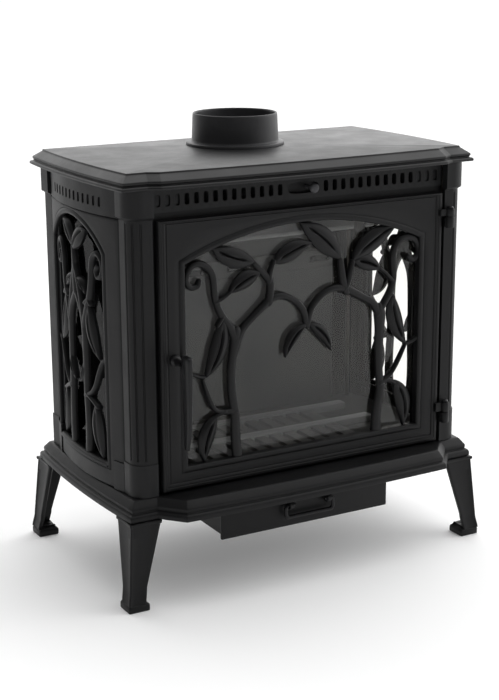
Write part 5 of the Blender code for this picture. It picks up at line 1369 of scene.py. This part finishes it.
# ------------------------------------------------------------------ door
@dataclass
class Door(SubAssembly):
    """The door: moulded arch frame with its hinge knuckles, the tree casting and the seal."""

    half: float = 0.275
    open_half: float = 0.229
    sill: float = 0.039
    crest: float = 0.025
    arch_rise: float = 0.049
    thick: float = 0.014
    rim: Route = ((0, 0), (0, 10.8), (0.4, 12.2), (1.4, 13.4), (2.9, 14.0), (5.4, 14.2), (7.9, 13.8),
                  (9.3, 13.0),
                  (10.1, 11.9), (10.9, 11.6), (11.8, 12.2), (12.6, 12.6))
    edge: Sequence[tuple[float, float]] = ((14.6, 12.6), (13.6, 11.6), (12.8, 11.7), (12.0, 13.0),
                                           (11.2, 13.5),
                                           (8.4, 13.6), (7.6, 13.1), (7.0, 13.1), (6.2, 13.9), (2.6, 14.0),
                                           (1.2, 13.5), (0.4, 12.6), (0, 11.2), (0, 0))
    head_share: float = 0.42        # of the moulding's width is kept along the frame's head
    grille_back: float = 0.012
    grille_depth: float = 0.0092
    tree_shift: float = 0.004
    knuckle_radius: float = 0.008
    knuckle_spans: Sequence[tuple[float, float]] = ((0.5980, 0.6110), (0.2415, 0.2590))
    left_limbs: Sequence[Route] = (
        ((-136, -3, 19), (-139, 38, 17), (-140, 74, 16), (-145, 110, 15), (-146, 147, 15), (-143, 174, 16),
         (-137, 199, 21), (-137, 214, 22)),
        ((-139, 207, 17), (-149, 226, 14), (-161, 242, 13), (-170, 260, 12), (-175, 278, 12), (-177, 297, 12),
         (-179, 313, 12), (-187, 327, 12), (-202, 336, 12), (-217, 334, 11), (-226, 322, 10), (-227, 308, 10),
         (-219, 299, 10), (-208, 300, 10), (-204, 308, 9)),
        ((-133, 205, 17), (-124, 219, 14), (-106, 235, 13), (-86, 251, 14), (-72, 262, 14), (-52, 266, 13),
         (-34, 260, 12), (-18, 249, 12), (-6, 233, 12), (0, 208, 11)),
        ((-74, 258, 15), (-71, 278, 14), (-72, 292, 13), (-79, 302, 12), (-90, 313, 11), (-102, 326, 9)),
        ((-74, 294, 11), (-72, 308, 9), (-65, 326, 8)),
        ((-148, 283, 6), (-158, 277, 7), (-174, 270, 8)),
        ((-163, 243, 8), (-168, 236, 8), (-172, 230, 7)),
        ((-198, 146, 6), (-212, 150, 7), (-230, 160, 8)),
        ((-200, 142, 6), (-190, 112, 8), (-179, 89, 8), (-162, 81, 10), (-140, 80, 12)),
        ((-160, 82, 9), (-174, 77, 8), (-182, 72, 7)))
    left_leaves: Sequence[tuple] = (
        ((-101, 330), (-181, 361), 34, 0.06), ((-90, 311), (-151, 281), 28, -0.06),
        ((-65, 322), (9, 351), 32, 0.05),
        ((-163, 243), (-197, 143), 31, 0.10), ((-174, 79), (-199, -1), 29, -0.10),
        ((-1, 212), (-43, 158), 21, -0.12))
    right_limbs: Sequence[Route] = (
        ((144, -3, 21), (146, 38, 18), (152, 74, 16), (149, 110, 15), (148, 156, 17), (149, 183, 18),
         (149, 206, 22), (147, 219, 22)),
        ((149, 208, 17), (134, 231, 14), (116, 242, 13), (98, 252, 14), (77, 263, 14), (57, 267, 13),
         (39, 263, 12), (23, 253, 12), (9, 237, 12), (1, 210, 11)),
        ((78, 259, 15), (72, 278, 14), (69, 297, 12), (66, 315, 10)),
        ((75, 262, 12), (82, 277, 12), (86, 293, 11), (90, 308, 9)),
        ((145, 212, 16), (155, 226, 13), (166, 242, 13), (173, 258, 12), (176, 274, 12), (175, 292, 12),
         (174, 310, 12), (178, 326, 12), (189, 338, 13), (205, 341, 13), (219, 335, 12), (228, 321, 11),
         (226, 307, 11), (215, 300, 11), (207, 306, 10)),
        ((146, 291, 7), (157, 283, 7), (172, 268, 8)),
        ((164, 240, 9), (171, 243, 8), (176, 238, 7)),
        ((202, 150, 6), (214, 152, 7), (232, 160, 8)),
        ((203, 148, 6), (190, 124, 8), (174, 100, 8), (151, 85, 11)),
        ((151, 88, 10), (168, 88, 8), (180, 82, 7)))
    right_leaves: Sequence[tuple] = (
        ((67, 316), (-14, 386), 39, -0.05), ((91, 312), (181, 366), 36, 0.05),
        ((91, 310), (148, 289), 28, 0.08),
        ((173, 245), (204, 149), 30, -0.08), ((180, 86), (201, 0), 31, 0.12), ((1, 212), (48, 158), 21, 0.12))

    def build(self) -> None:
        """Makes the frame, the tree and the seal, and dresses the glass and its clips."""
        box = Box.of("door_frame")
        foot, head = box.low[2], box.high[2]
        front = Box.of("door_grille").low[1] - 0.003
        back = front + self.thick
        open_foot = foot + self.sill
        panel = ArchedPanel(self.open_half, open_foot, head - self.crest, self.arch_rise, side_points=16)
        rim = [(panel.border(self.half - e * MM, foot + e * MM, head - e * MM * self.head_share), w * MM)
               for e, w in self.edge]
        frame_ring = panel.ring(self.rim, rim, spans=2)
        place = facing_front(back)
        self.fit("door_casting", [frame_ring.carried(place), *self.knuckles()], CASTING, Body.DOOR,
                 Slot.CAST_IRON, ["door_frame"])

        def planted(p: Array) -> Array:
            """Lays the tree in the opening with its back to the glass."""
            return facing_front(front + self.grille_back)(p + np.array([self.tree_shift, open_foot, 0]))

        limbs = [limb(route, self.grille_depth) for route in (*self.left_limbs, *self.right_limbs)]
        leaves = [leaf(b, t, w, self.grille_depth * 1.08, bend)
                  for b, t, w, bend in (*self.left_leaves, *self.right_leaves)]
        self.fit("door_foliage", [s.carried(planted) for s in limbs + leaves], FOLIAGE, Body.DOOR,
                 Slot.CAST_IRON, ["door_grille"])
        self.seal()
        self.dress(GLASS, "door_glass")
        self.dress(ROPE, "door_glass_tape")
        self.dress(SHEET, "door_glass_frame")

    def knuckles(self) -> list[Shell]:
        """The turned barrels on the hinge line and the arms that carry them.

        Returns:
            Their closed skins.
        """
        pin = Box.of("hinge_pin_upper")
        axis = pin.middle
        shells = []
        for low, high in self.knuckle_spans:
            rise = (high - low) / MM
            r = self.knuckle_radius / MM
            barrel = turned(((r - 1.2, 0), (r - 0.3, 0.3), (r, 1.2), (r, rise - 1.2), (r - 0.3, rise - 0.3),
                             (r - 1.2, rise)), 28)
            shells.append(barrel.carried(at(axis[0], axis[1], low)))
            arm = block((0.018, 0.008, high - low - 0.002), 0.001)
            shells.append(arm.carried(at(axis[0] - 0.011, axis[1] + 0.003, (low + high) / 2)))
        return shells

    def seal(self) -> None:
        """A rope laid round the back of the frame: a round section along a rounded rectangle."""
        box = Box.of("door_rope")
        radius = box.size[1] / 2
        plan = dense(rectangle(box.high[0] - radius, box.low[2] + radius, box.high[2] - radius, 0.018, 6),
                     0.006)
        route = np.column_stack([plan[:, 0], np.full(len(plan), box.middle[1]), plan[:, 1]])
        rope = swept(route, circle(radius, 12), (0, 1, 0), Close.LOOP)
        self.fit("door_seal", [rope], ROPE, Body.DOOR, Slot.ROPE, ["door_rope"])


@dataclass
class Hinges(SubAssembly):
    """The fixed hinge blocks with their barrels, and the pins."""

    radius: float = 0.0080

    def build(self) -> None:
        """Makes both hinges."""
        for end in ("upper", "lower"):
            box = Box.of("hinge_block_" + end)
            pin = Box.of("hinge_pin_" + end)
            rise = box.size[2] / MM
            r = self.radius / MM
            barrel = turned(((r - 1.4, 0), (r - 0.4, 0.4), (r, 1.4), (r, rise - 1.4), (r - 0.4, rise - 0.4),
                             (r - 1.4, rise)), 28)
            lug = block((box.size[0] - 0.002, box.high[1] - pin.middle[1], box.size[2] - 0.0016), 0.0016)
            self.fit("hinge_lug_" + end,
                     [barrel.carried(at(pin.middle[0], pin.middle[1], box.low[2])),
                      lug.carried(at(box.middle[0], (box.high[1] + pin.middle[1]) / 2, box.middle[2]))],
                     CASTING, Body.STOVE, Slot.CAST_IRON, ["hinge_block_" + end])
            tall = pin.size[2] / MM
            spindle = turned(((2.6, 0.6), (3.4, 1.2), (3.4, tall - 4.0), (5.6, tall - 4.0), (6.0, tall - 3.4),
                              (5.9, tall - 2.2), (5.0, tall - 1.0), (3.2, tall - 0.3), (1.0, tall)), 24)
            self.fit("hinge_spindle_" + end, [spindle.carried(at(pin.middle[0], pin.middle[1], pin.low[2]))],
                     HANDLE_PAINT, Body.STOVE, Slot.STEEL, ["hinge_pin_" + end])


@dataclass
class Latch(SubAssembly):
    """The latch: a spindle with its boss, a blade grip that tapers downwards, and the tongue."""

    def build(self) -> None:
        """Makes the three pieces."""
        spindle = Box.of("latch_spindle")
        grip = Box.of("latch_grip")
        x, z = spindle.middle[0], spindle.middle[2]
        door = Box.of("door_grille").low[1] - 0.003
        reach = (spindle.high[1] - spindle.low[1]) / MM
        out = (door - spindle.low[1]) / MM
        rod = turned(((3.4, 0), (4.5, 0.8), (4.5, reach - out + 0.3), (9.8, reach - out + 0.3),
                      (10.0, reach - out + 1.0), (9.4, reach - out + 3.0), (7.2, reach - out + 4.2),
                      (5.6, reach - out + 5.6), (5.2, reach - 4.0), (6.4, reach - 1.4), (6.6, reach)), 32)
        self.fit("latch_rod", [rod.carried(along_front(x, spindle.high[1], z))], HANDLE_PAINT, Body.LATCH,
                 Slot.DARK_STEEL, ["latch_spindle"])
        middle_y = grip.middle[1]
        route = flowing([(x, middle_y + 0.000, grip.high[2] - 0.004, 0.86, 0.86),
                         (x, middle_y, z + 0.008, 1.0, 1.0),
                         (x, middle_y, z - 0.012, 0.98, 0.99), (x, middle_y, z - 0.060, 0.84, 0.92),
                         (x, middle_y + 0.001, z - 0.105, 0.74, 0.80),
                         (x, middle_y + 0.004, grip.low[2] + 0.012, 0.62, 0.52),
                         (x, middle_y + 0.006, grip.low[2] + 0.004, 0.50, 0.34)], 44)
        taper = np.sqrt(np.clip(1 - np.linspace(1, 0, 5)[:-1] ** 2, 0.02, 1))
        size = route[:, 3:].copy()
        size[:4] *= taper[:, None]
        size[-4:] *= taper[::-1, None]
        turn = np.linspace(0, 2 * np.pi, 28, endpoint=False)
        oval = np.sign(np.column_stack([np.cos(turn), np.sin(turn)])) * np.abs(
            np.column_stack([np.cos(turn), np.sin(turn)])) ** 0.72
        section = oval * [grip.size[0] / 2 - 0.0002, grip.size[1] / 2 - 0.0004]
        blade = swept(route[:, :3], section, (1, 0, 0), scale=size)
        self.fit("latch_blade", [blade], HANDLE_PAINT, Body.LATCH, Slot.DARK_STEEL, ["latch_grip"])
        tongue = Box.of("latch_tongue")
        self.fit("latch_bolt", [block(tongue.size, 0.0014).carried(at(*tongue.middle))], STEEL, Body.LATCH,
                 Slot.STEEL, ["latch_tongue"])


@dataclass
class AirControl(SubAssembly):
    """The turned knob of the air slider; the slider and its guides sit behind the vents."""

    knob: Route = ((3.5, 0), (3.5, 20.4), (4.2, 21.4), (7.4, 22.2), (8.3, 23.0), (8.5, 24.4), (8.3, 26.4),
                   (7.4, 28.0), (5.4, 29.1), (2.6, 29.5), (0.4, 29.6))

    def build(self) -> None:
        """Makes the knob and dresses the sheet parts."""
        box = Box.of("air_knob")
        knob = turned(self.knob, 36)
        self.fit("air_pull", [knob.carried(along_front(box.middle[0], box.high[1], box.middle[2]))],
                 PaintedIron("worn_black_knob", dark="#38383a", pale="#434345", roughness=0.40),
                 Body.AIR_SLIDER,
                 Slot.DARK_STEEL, ["air_knob"])
        self.dress(SHEET, "air_slider", "air_guide_upper", "air_guide_lower")


# ------------------------------------------------------------------ fire chamber and ash drawer
@dataclass
class FireChamber(SubAssembly):
    """What shows through the glass: fireback, air bar with its bolts, baffle, grate and log retainer."""

    bolt: Route = ((6.6, 0), (6.6, 1.0), (5.6, 1.2), (5.6, 3.6), (5.0, 4.6), (3.2, 5.3), (0.4, 5.6))
    baffle_turn: float = 0.025
    grate_slots: int = 10
    grate_pitch: float = 0.030
    grate_slot_half: float = 0.0052
    bar_half: float = 0.245
    bar_width: float = 0.022
    bar_stand: float = 0.003
    bar_offsets: Sequence[float] = (-0.010, 0.082)

    def build(self) -> None:
        """Makes the chamber's castings and dresses its glass clips, rods and hangers."""
        for node, name, soft in (("fireback", "fireback_casting", 0.002),
                                 ("air_bar", "air_bar_casting", 0.0015),
                                 ("log_retainer", "retainer_casting", 0.0022)):
            box = Box.of(node)
            self.fit(name, [block(box.size, soft).carried(at(*box.middle))], FIRE_IRON, Body.STOVE,
                     Slot.FIRE_PLATE, [node])
        self.baffle()
        self.grate()
        for number in range(1, 5):
            node = f"air_bar_bolts_{number}"
            box = Box.of(node)
            heads = [turned(self.bolt, 20).carried(along_front(box.middle[0] + s * 0.0165, box.high[1],
                                                               box.middle[2])) for s in (-1, 1)]
            tab = block((box.size[0], 0.0012, 0.012), 0.0004).carried(
                at(box.middle[0], box.high[1] - 0.0007, box.middle[2]))
            self.fit(f"air_bar_bolt_pair_{number}", [*heads, tab], SHEET, Body.STOVE, Slot.DARK_STEEL, [node])
        # The left pane is greyed, painted shade.
        self.dress(SHADED_SIDE_GLASS, "side_glass_left")
        self.dress(SIDE_GLASS, "side_glass_right")
        self.dress(SHEET, "side_glass_frame_left", "side_glass_frame_right", "baffle_hanger_left",
                   "baffle_hanger_right")
        self.dress(STEEL, "tie_rod_front_left", "tie_rod_front_right", "tie_rod_rear_left",
                   "tie_rod_rear_right")

    def baffle(self) -> None:
        """A plate with round front corners and a round front edge, which catches the light; its paint is paler,
        a painted highlight.
        """
        box = Box.of("baffle_plate")
        x, y0, y1 = box.high[0], box.low[1], box.high[1]
        plan = rounded([(-x, y0), (x, y0), (x, y1), (-x, y1)], self.baffle_turn, 8)
        plate = moulded(plan, ((-3.0, 0), (-1.2, 0.5), (-0.2, 2.0), (0, 4.0), (-0.2, 6.0), (-1.2, 7.5),
                               (-3.0, 8)))
        self.fit("baffle_casting", [plate.carried(at(0, 0, box.low[2]))], PALE_IRON_PAINTED_HIGHLIGHT, Body.STOVE,
                 Slot.FIRE_PLATE, ["baffle_plate"])

    def grate(self) -> None:
        """Two slotted bands side by side, each a row of cells turned to lie flat."""
        box = Box.of("grate")
        middles = (np.arange(self.grate_slots) - (self.grate_slots - 1) / 2) * self.grate_pitch
        half = np.full(self.grate_slots, self.grate_pitch / 2)
        slot = np.full(self.grate_slots, self.grate_slot_half)
        depth = box.size[1] / 2
        bands = [slotted_strip(middles, half, slot, low, low + depth, low + depth / 2, depth / 2 - 0.014,
                               box.size[2]) for low in (box.low[1], box.middle[1])]
        end = self.grate_slots * self.grate_pitch / 2
        ends = [block((box.high[0] - end, box.size[1], box.size[2]), 0.0004).carried(
            at(s * (end + box.high[0]) / 2, box.middle[1], box.middle[2])) for s in (-1, 1)]
        self.fit("grate_casting", [b.carried(at(0, 0, box.low[2])) for b in bands] + ends, FIRE_IRON,
                 Body.STOVE, Slot.FIRE_PLATE, ["grate"])
        rise = box.size[2] + self.bar_stand
        # The bars are painted pale, a painted highlight for the light on their fronts.
        bars = [block((self.bar_half * 2, self.bar_width, rise), 0.0012).carried(
            at(0, box.middle[1] + offset, box.low[2] + rise / 2)) for offset in self.bar_offsets]
        self.fit("grate_bars", bars, PALE_IRON_PAINTED_HIGHLIGHT, Body.STOVE, Slot.FIRE_PLATE)


@dataclass
class AshDrawer(SubAssembly):
    """The folded housing under the base, the drawer with its front plate, and the wire bail."""

    wire: float = 0.0035
    tray_half: float = 0.1572

    def build(self) -> None:
        """Makes the drawer's pieces."""
        self.dress(SHEET, "ash_box")
        box = Box.of("ash_drawer")
        housing = Box.of("ash_box")
        plate_thick = 0.006
        face = block((box.size[0], plate_thick, box.size[2]), 0.0012).carried(
            at(box.middle[0], box.low[1] + plate_thick / 2, box.middle[2]))
        tray_front = box.low[1] + plate_thick - 0.0006
        x, y0, y1 = self.tray_half, tray_front, box.high[1]
        plan = rounded([(-x, y0), (x, y0), (x, y1), (-x, y1)], 0.004, 4)
        floor = housing.low[2] + 0.0023
        rise = box.high[2] - 0.0034 - floor
        tray = skin(np.stack([level(grown(plan, g * MM), floor + h) for g, h in (
            (-3, 0), (-0.8, 0.0008), (0, 0.003), (0, rise - 0.001), (-0.4, rise), (-1.1, rise),
            (-1.5, rise - 0.001),
            (-1.5, 0.004), (-2.6, 0.0024), (-4.0, 0.0016))]))
        self.fit("ash_pan", [face, tray], SHEET, Body.ASH_DRAWER, Slot.DARK_STEEL, ["ash_drawer"])
        for end in ("left", "right"):
            self.eye("drawer_eye_" + end)
        self.bail()

    def eye(self, node: str) -> None:
        """A lug with a round nose that the wire turns in.

        Args:
            node: The CAD node it replaces.
        """
        box = Box.of(node)
        turn = np.linspace(-np.pi / 2, np.pi / 2, 13)
        radius = box.size[2] / 2
        nose = np.column_stack([box.low[1] + radius - radius * np.cos(turn),
                                box.middle[2] + radius * np.sin(turn)])
        plan = np.vstack([nose, [(box.high[1], box.high[2]), (box.high[1], box.low[2])]])[::-1]
        lug = moulded(plan, ((-0.8, 0), (0, 0.8), (0, box.size[0] / MM - 0.8), (-0.8, box.size[0] / MM)))
        self.fit(node.replace("eye", "lug"), [lug.carried(lambda p: np.column_stack(
            [box.low[0] + p[:, 2], p[:, 0], p[:, 1]]))], HANDLE_PAINT, Body.ASH_DRAWER, Slot.DARK_STEEL,
            [node])

    def bail(self) -> None:
        """A bent wire: short pivots through the lugs, round elbows and a straight grip."""
        box = Box.of("drawer_bail")
        y = box.middle[1]
        top = box.high[2] - self.wire
        low = box.low[2] + self.wire
        half = box.high[0] - self.wire
        pivot = Box.of("drawer_eye_right").low[0] - 0.004
        bend = 0.006
        right = [(pivot, y, top), (half - bend, y, top), (half - bend * 0.3, y, top - bend * 0.3),
                 (half, y, top - bend), (half, y, low + bend), (half - bend * 0.3, y, low + bend * 0.3),
                 (half - bend, y, low), (half * 0.4, y, low)]
        whole = np.array(right + [(-px, py, pz) for px, py, pz in right[::-1]])
        route = flowing(whole, 120)
        self.fit("drawer_handle", [swept(route, circle(self.wire, 14), (0, 1, 0))], HANDLE_PAINT,
                 Body.DRAWER_BAIL, Slot.DARK_STEEL, ["drawer_bail"])


# ------------------------------------------------------------------ stage
@dataclass
class Studio:
    """A pale floor, a soft white surround and the camera."""

    camera_at: tuple[float, float, float] = (-1.3103, -2.2998, 1.0642)
    looking: tuple[float, float, float] = (0.47362, 0.84180, -0.25895)
    roll: float = math.radians(-0.344)
    lens: float = 78.54
    sensor: float = 36.0
    floor_half: float = 9.0
    back_light: float = 2.3
    front_light: float = 0.10
    overhead: float = 0.30

    def build(self) -> None:
        """Makes the floor, the surround, the lamps and the camera."""
        scene = bpy.context.scene
        scene.view_settings.view_transform = "Standard"
        self.floor()
        self.surround(scene)
        self.lamp("softbox_left", (-2.6, -0.4, 1.3), (0, 0, 0.3), 1.6, 1.0)
        self.lamp("softbox_top", (0.3, -0.6, 2.6), (0, 0, 0.2), 2.2, 6.0)
        self.camera(scene)

    def floor(self) -> None:
        """A flat sheet of matt white board that glows a little, as one lit from all round does."""
        mesh = bpy.data.meshes.new("studio_floor")
        half = self.floor_half
        mesh.from_pydata([(-half, -half, 0), (half, -half, 0), (half, half, 0), (-half, half, 0)], [],
                         [(0, 1, 2, 3)])
        board = bpy.data.materials.new("matt_white_board")
        board.use_nodes = True
        tree = board.node_tree
        tree.nodes.clear()
        matt = add(tree, "ShaderNodeBsdfDiffuse", {"Color": linear("#f4f4f4")})
        glow = add(tree, "ShaderNodeEmission", {"Color": linear("#ffffff"), "Strength": 0.12})
        both = add(tree, "ShaderNodeAddShader", None, {0: matt.outputs[0], 1: glow.outputs[0]})
        add(tree, "ShaderNodeOutputMaterial", None, {"Surface": both.outputs[0]})
        mesh.materials.append(board)
        floor = bpy.data.objects.new("studio_floor", mesh)
        bpy.context.scene.collection.objects.link(floor)

    def surround(self, scene: bpy.types.Scene) -> None:
        """White to the camera; as light, bright behind the stove, dim in front of it and soft above.

        Args:
            scene: The scene it surrounds.
        """
        world = bpy.data.worlds.new("white_studio")
        world.use_nodes = True
        tree = world.node_tree
        tree.nodes.clear()
        way = add(tree, "ShaderNodeTexCoord").outputs["Generated"]
        behind = add(tree, "ShaderNodeVectorMath", {1: (0.80, 0.55, 0.24)}, {0: way}, operation="DOT_PRODUCT")
        back = add(tree, "ShaderNodeMapRange", {"From Min": -0.25, "From Max": 0.85, "To Min": self.front_light,
                                                "To Max": self.back_light},
                  {"Value": behind.outputs["Value"]},
                   interpolation_type="SMOOTHSTEP")
        above = add(tree, "ShaderNodeVectorMath", {1: (0.0, 0.0, 1.0)}, {0: way}, operation="DOT_PRODUCT")
        top = add(tree, "ShaderNodeMapRange", {"From Min": 0.35, "From Max": 1.0, "To Min": 0.0,
                                               "To Max": self.overhead}, {"Value": above.outputs["Value"]},
                  interpolation_type="SMOOTHSTEP")
        total = add(tree, "ShaderNodeMath", None, {0: back.outputs["Result"], 1: top.outputs["Result"]},
                    operation="ADD")
        seen = add(tree, "ShaderNodeLightPath").outputs["Is Camera Ray"]
        strength = add(tree, "ShaderNodeMix", {3: 1.05}, {0: seen, 2: total.outputs[0]}, data_type="FLOAT")
        sky = add(tree, "ShaderNodeBackground", {"Color": linear("#ffffff")},
                  {"Strength": strength.outputs[0]})
        add(tree, "ShaderNodeOutputWorld", None, {"Surface": sky.outputs[0]})
        scene.world = world

    def lamp(self, name: str, place: tuple, aim: tuple, size: float, power: float) -> None:
        """Adds a square soft lamp.

        Args:
            name: Its name.
            place: Where it hangs.
            aim: The point it faces.
            size: Its side in metres.
            power: Its power in watts.
        """
        light = bpy.data.lights.new(name, "AREA")
        light.size = size
        light.energy = power
        hung = bpy.data.objects.new(name, light)
        hung.location = place
        hung.rotation_euler = (Vector(aim) - Vector(place)).to_track_quat("-Z", "Y").to_euler()
        bpy.context.scene.collection.objects.link(hung)

    def camera(self, scene: bpy.types.Scene) -> None:
        """Sets the camera by its place, its direction and its small roll.

        Args:
            scene: The scene it looks at.
        """
        lens = bpy.data.cameras.new("camera")
        lens.lens = self.lens
        lens.sensor_width = self.sensor
        eye = bpy.data.objects.new("camera", lens)
        turn = Vector(self.looking).to_track_quat("-Z", "Y").to_matrix().to_4x4()
        eye.matrix_world = Matrix.Translation(self.camera_at) @ turn @ Matrix.Rotation(self.roll, 4, "Z")
        scene.collection.objects.link(eye)
        scene.camera = eye


def main() -> None:
    """Builds the stove's looks in order."""
    logging.basicConfig(level=logging.INFO, format="%(message)s")
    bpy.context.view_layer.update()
    Studio().build()
    groups = (Top(), Base(), Columns(), FrontFrame(), Side(-1), Side(1), Rear(), Door(), Hinges(), Latch(),
              AirControl(), FireChamber(), AshDrawer())
    for group in groups:
        group.build()
        LOG.info("%s done", type(group).__name__)


if __name__ == "__main__":
    main()
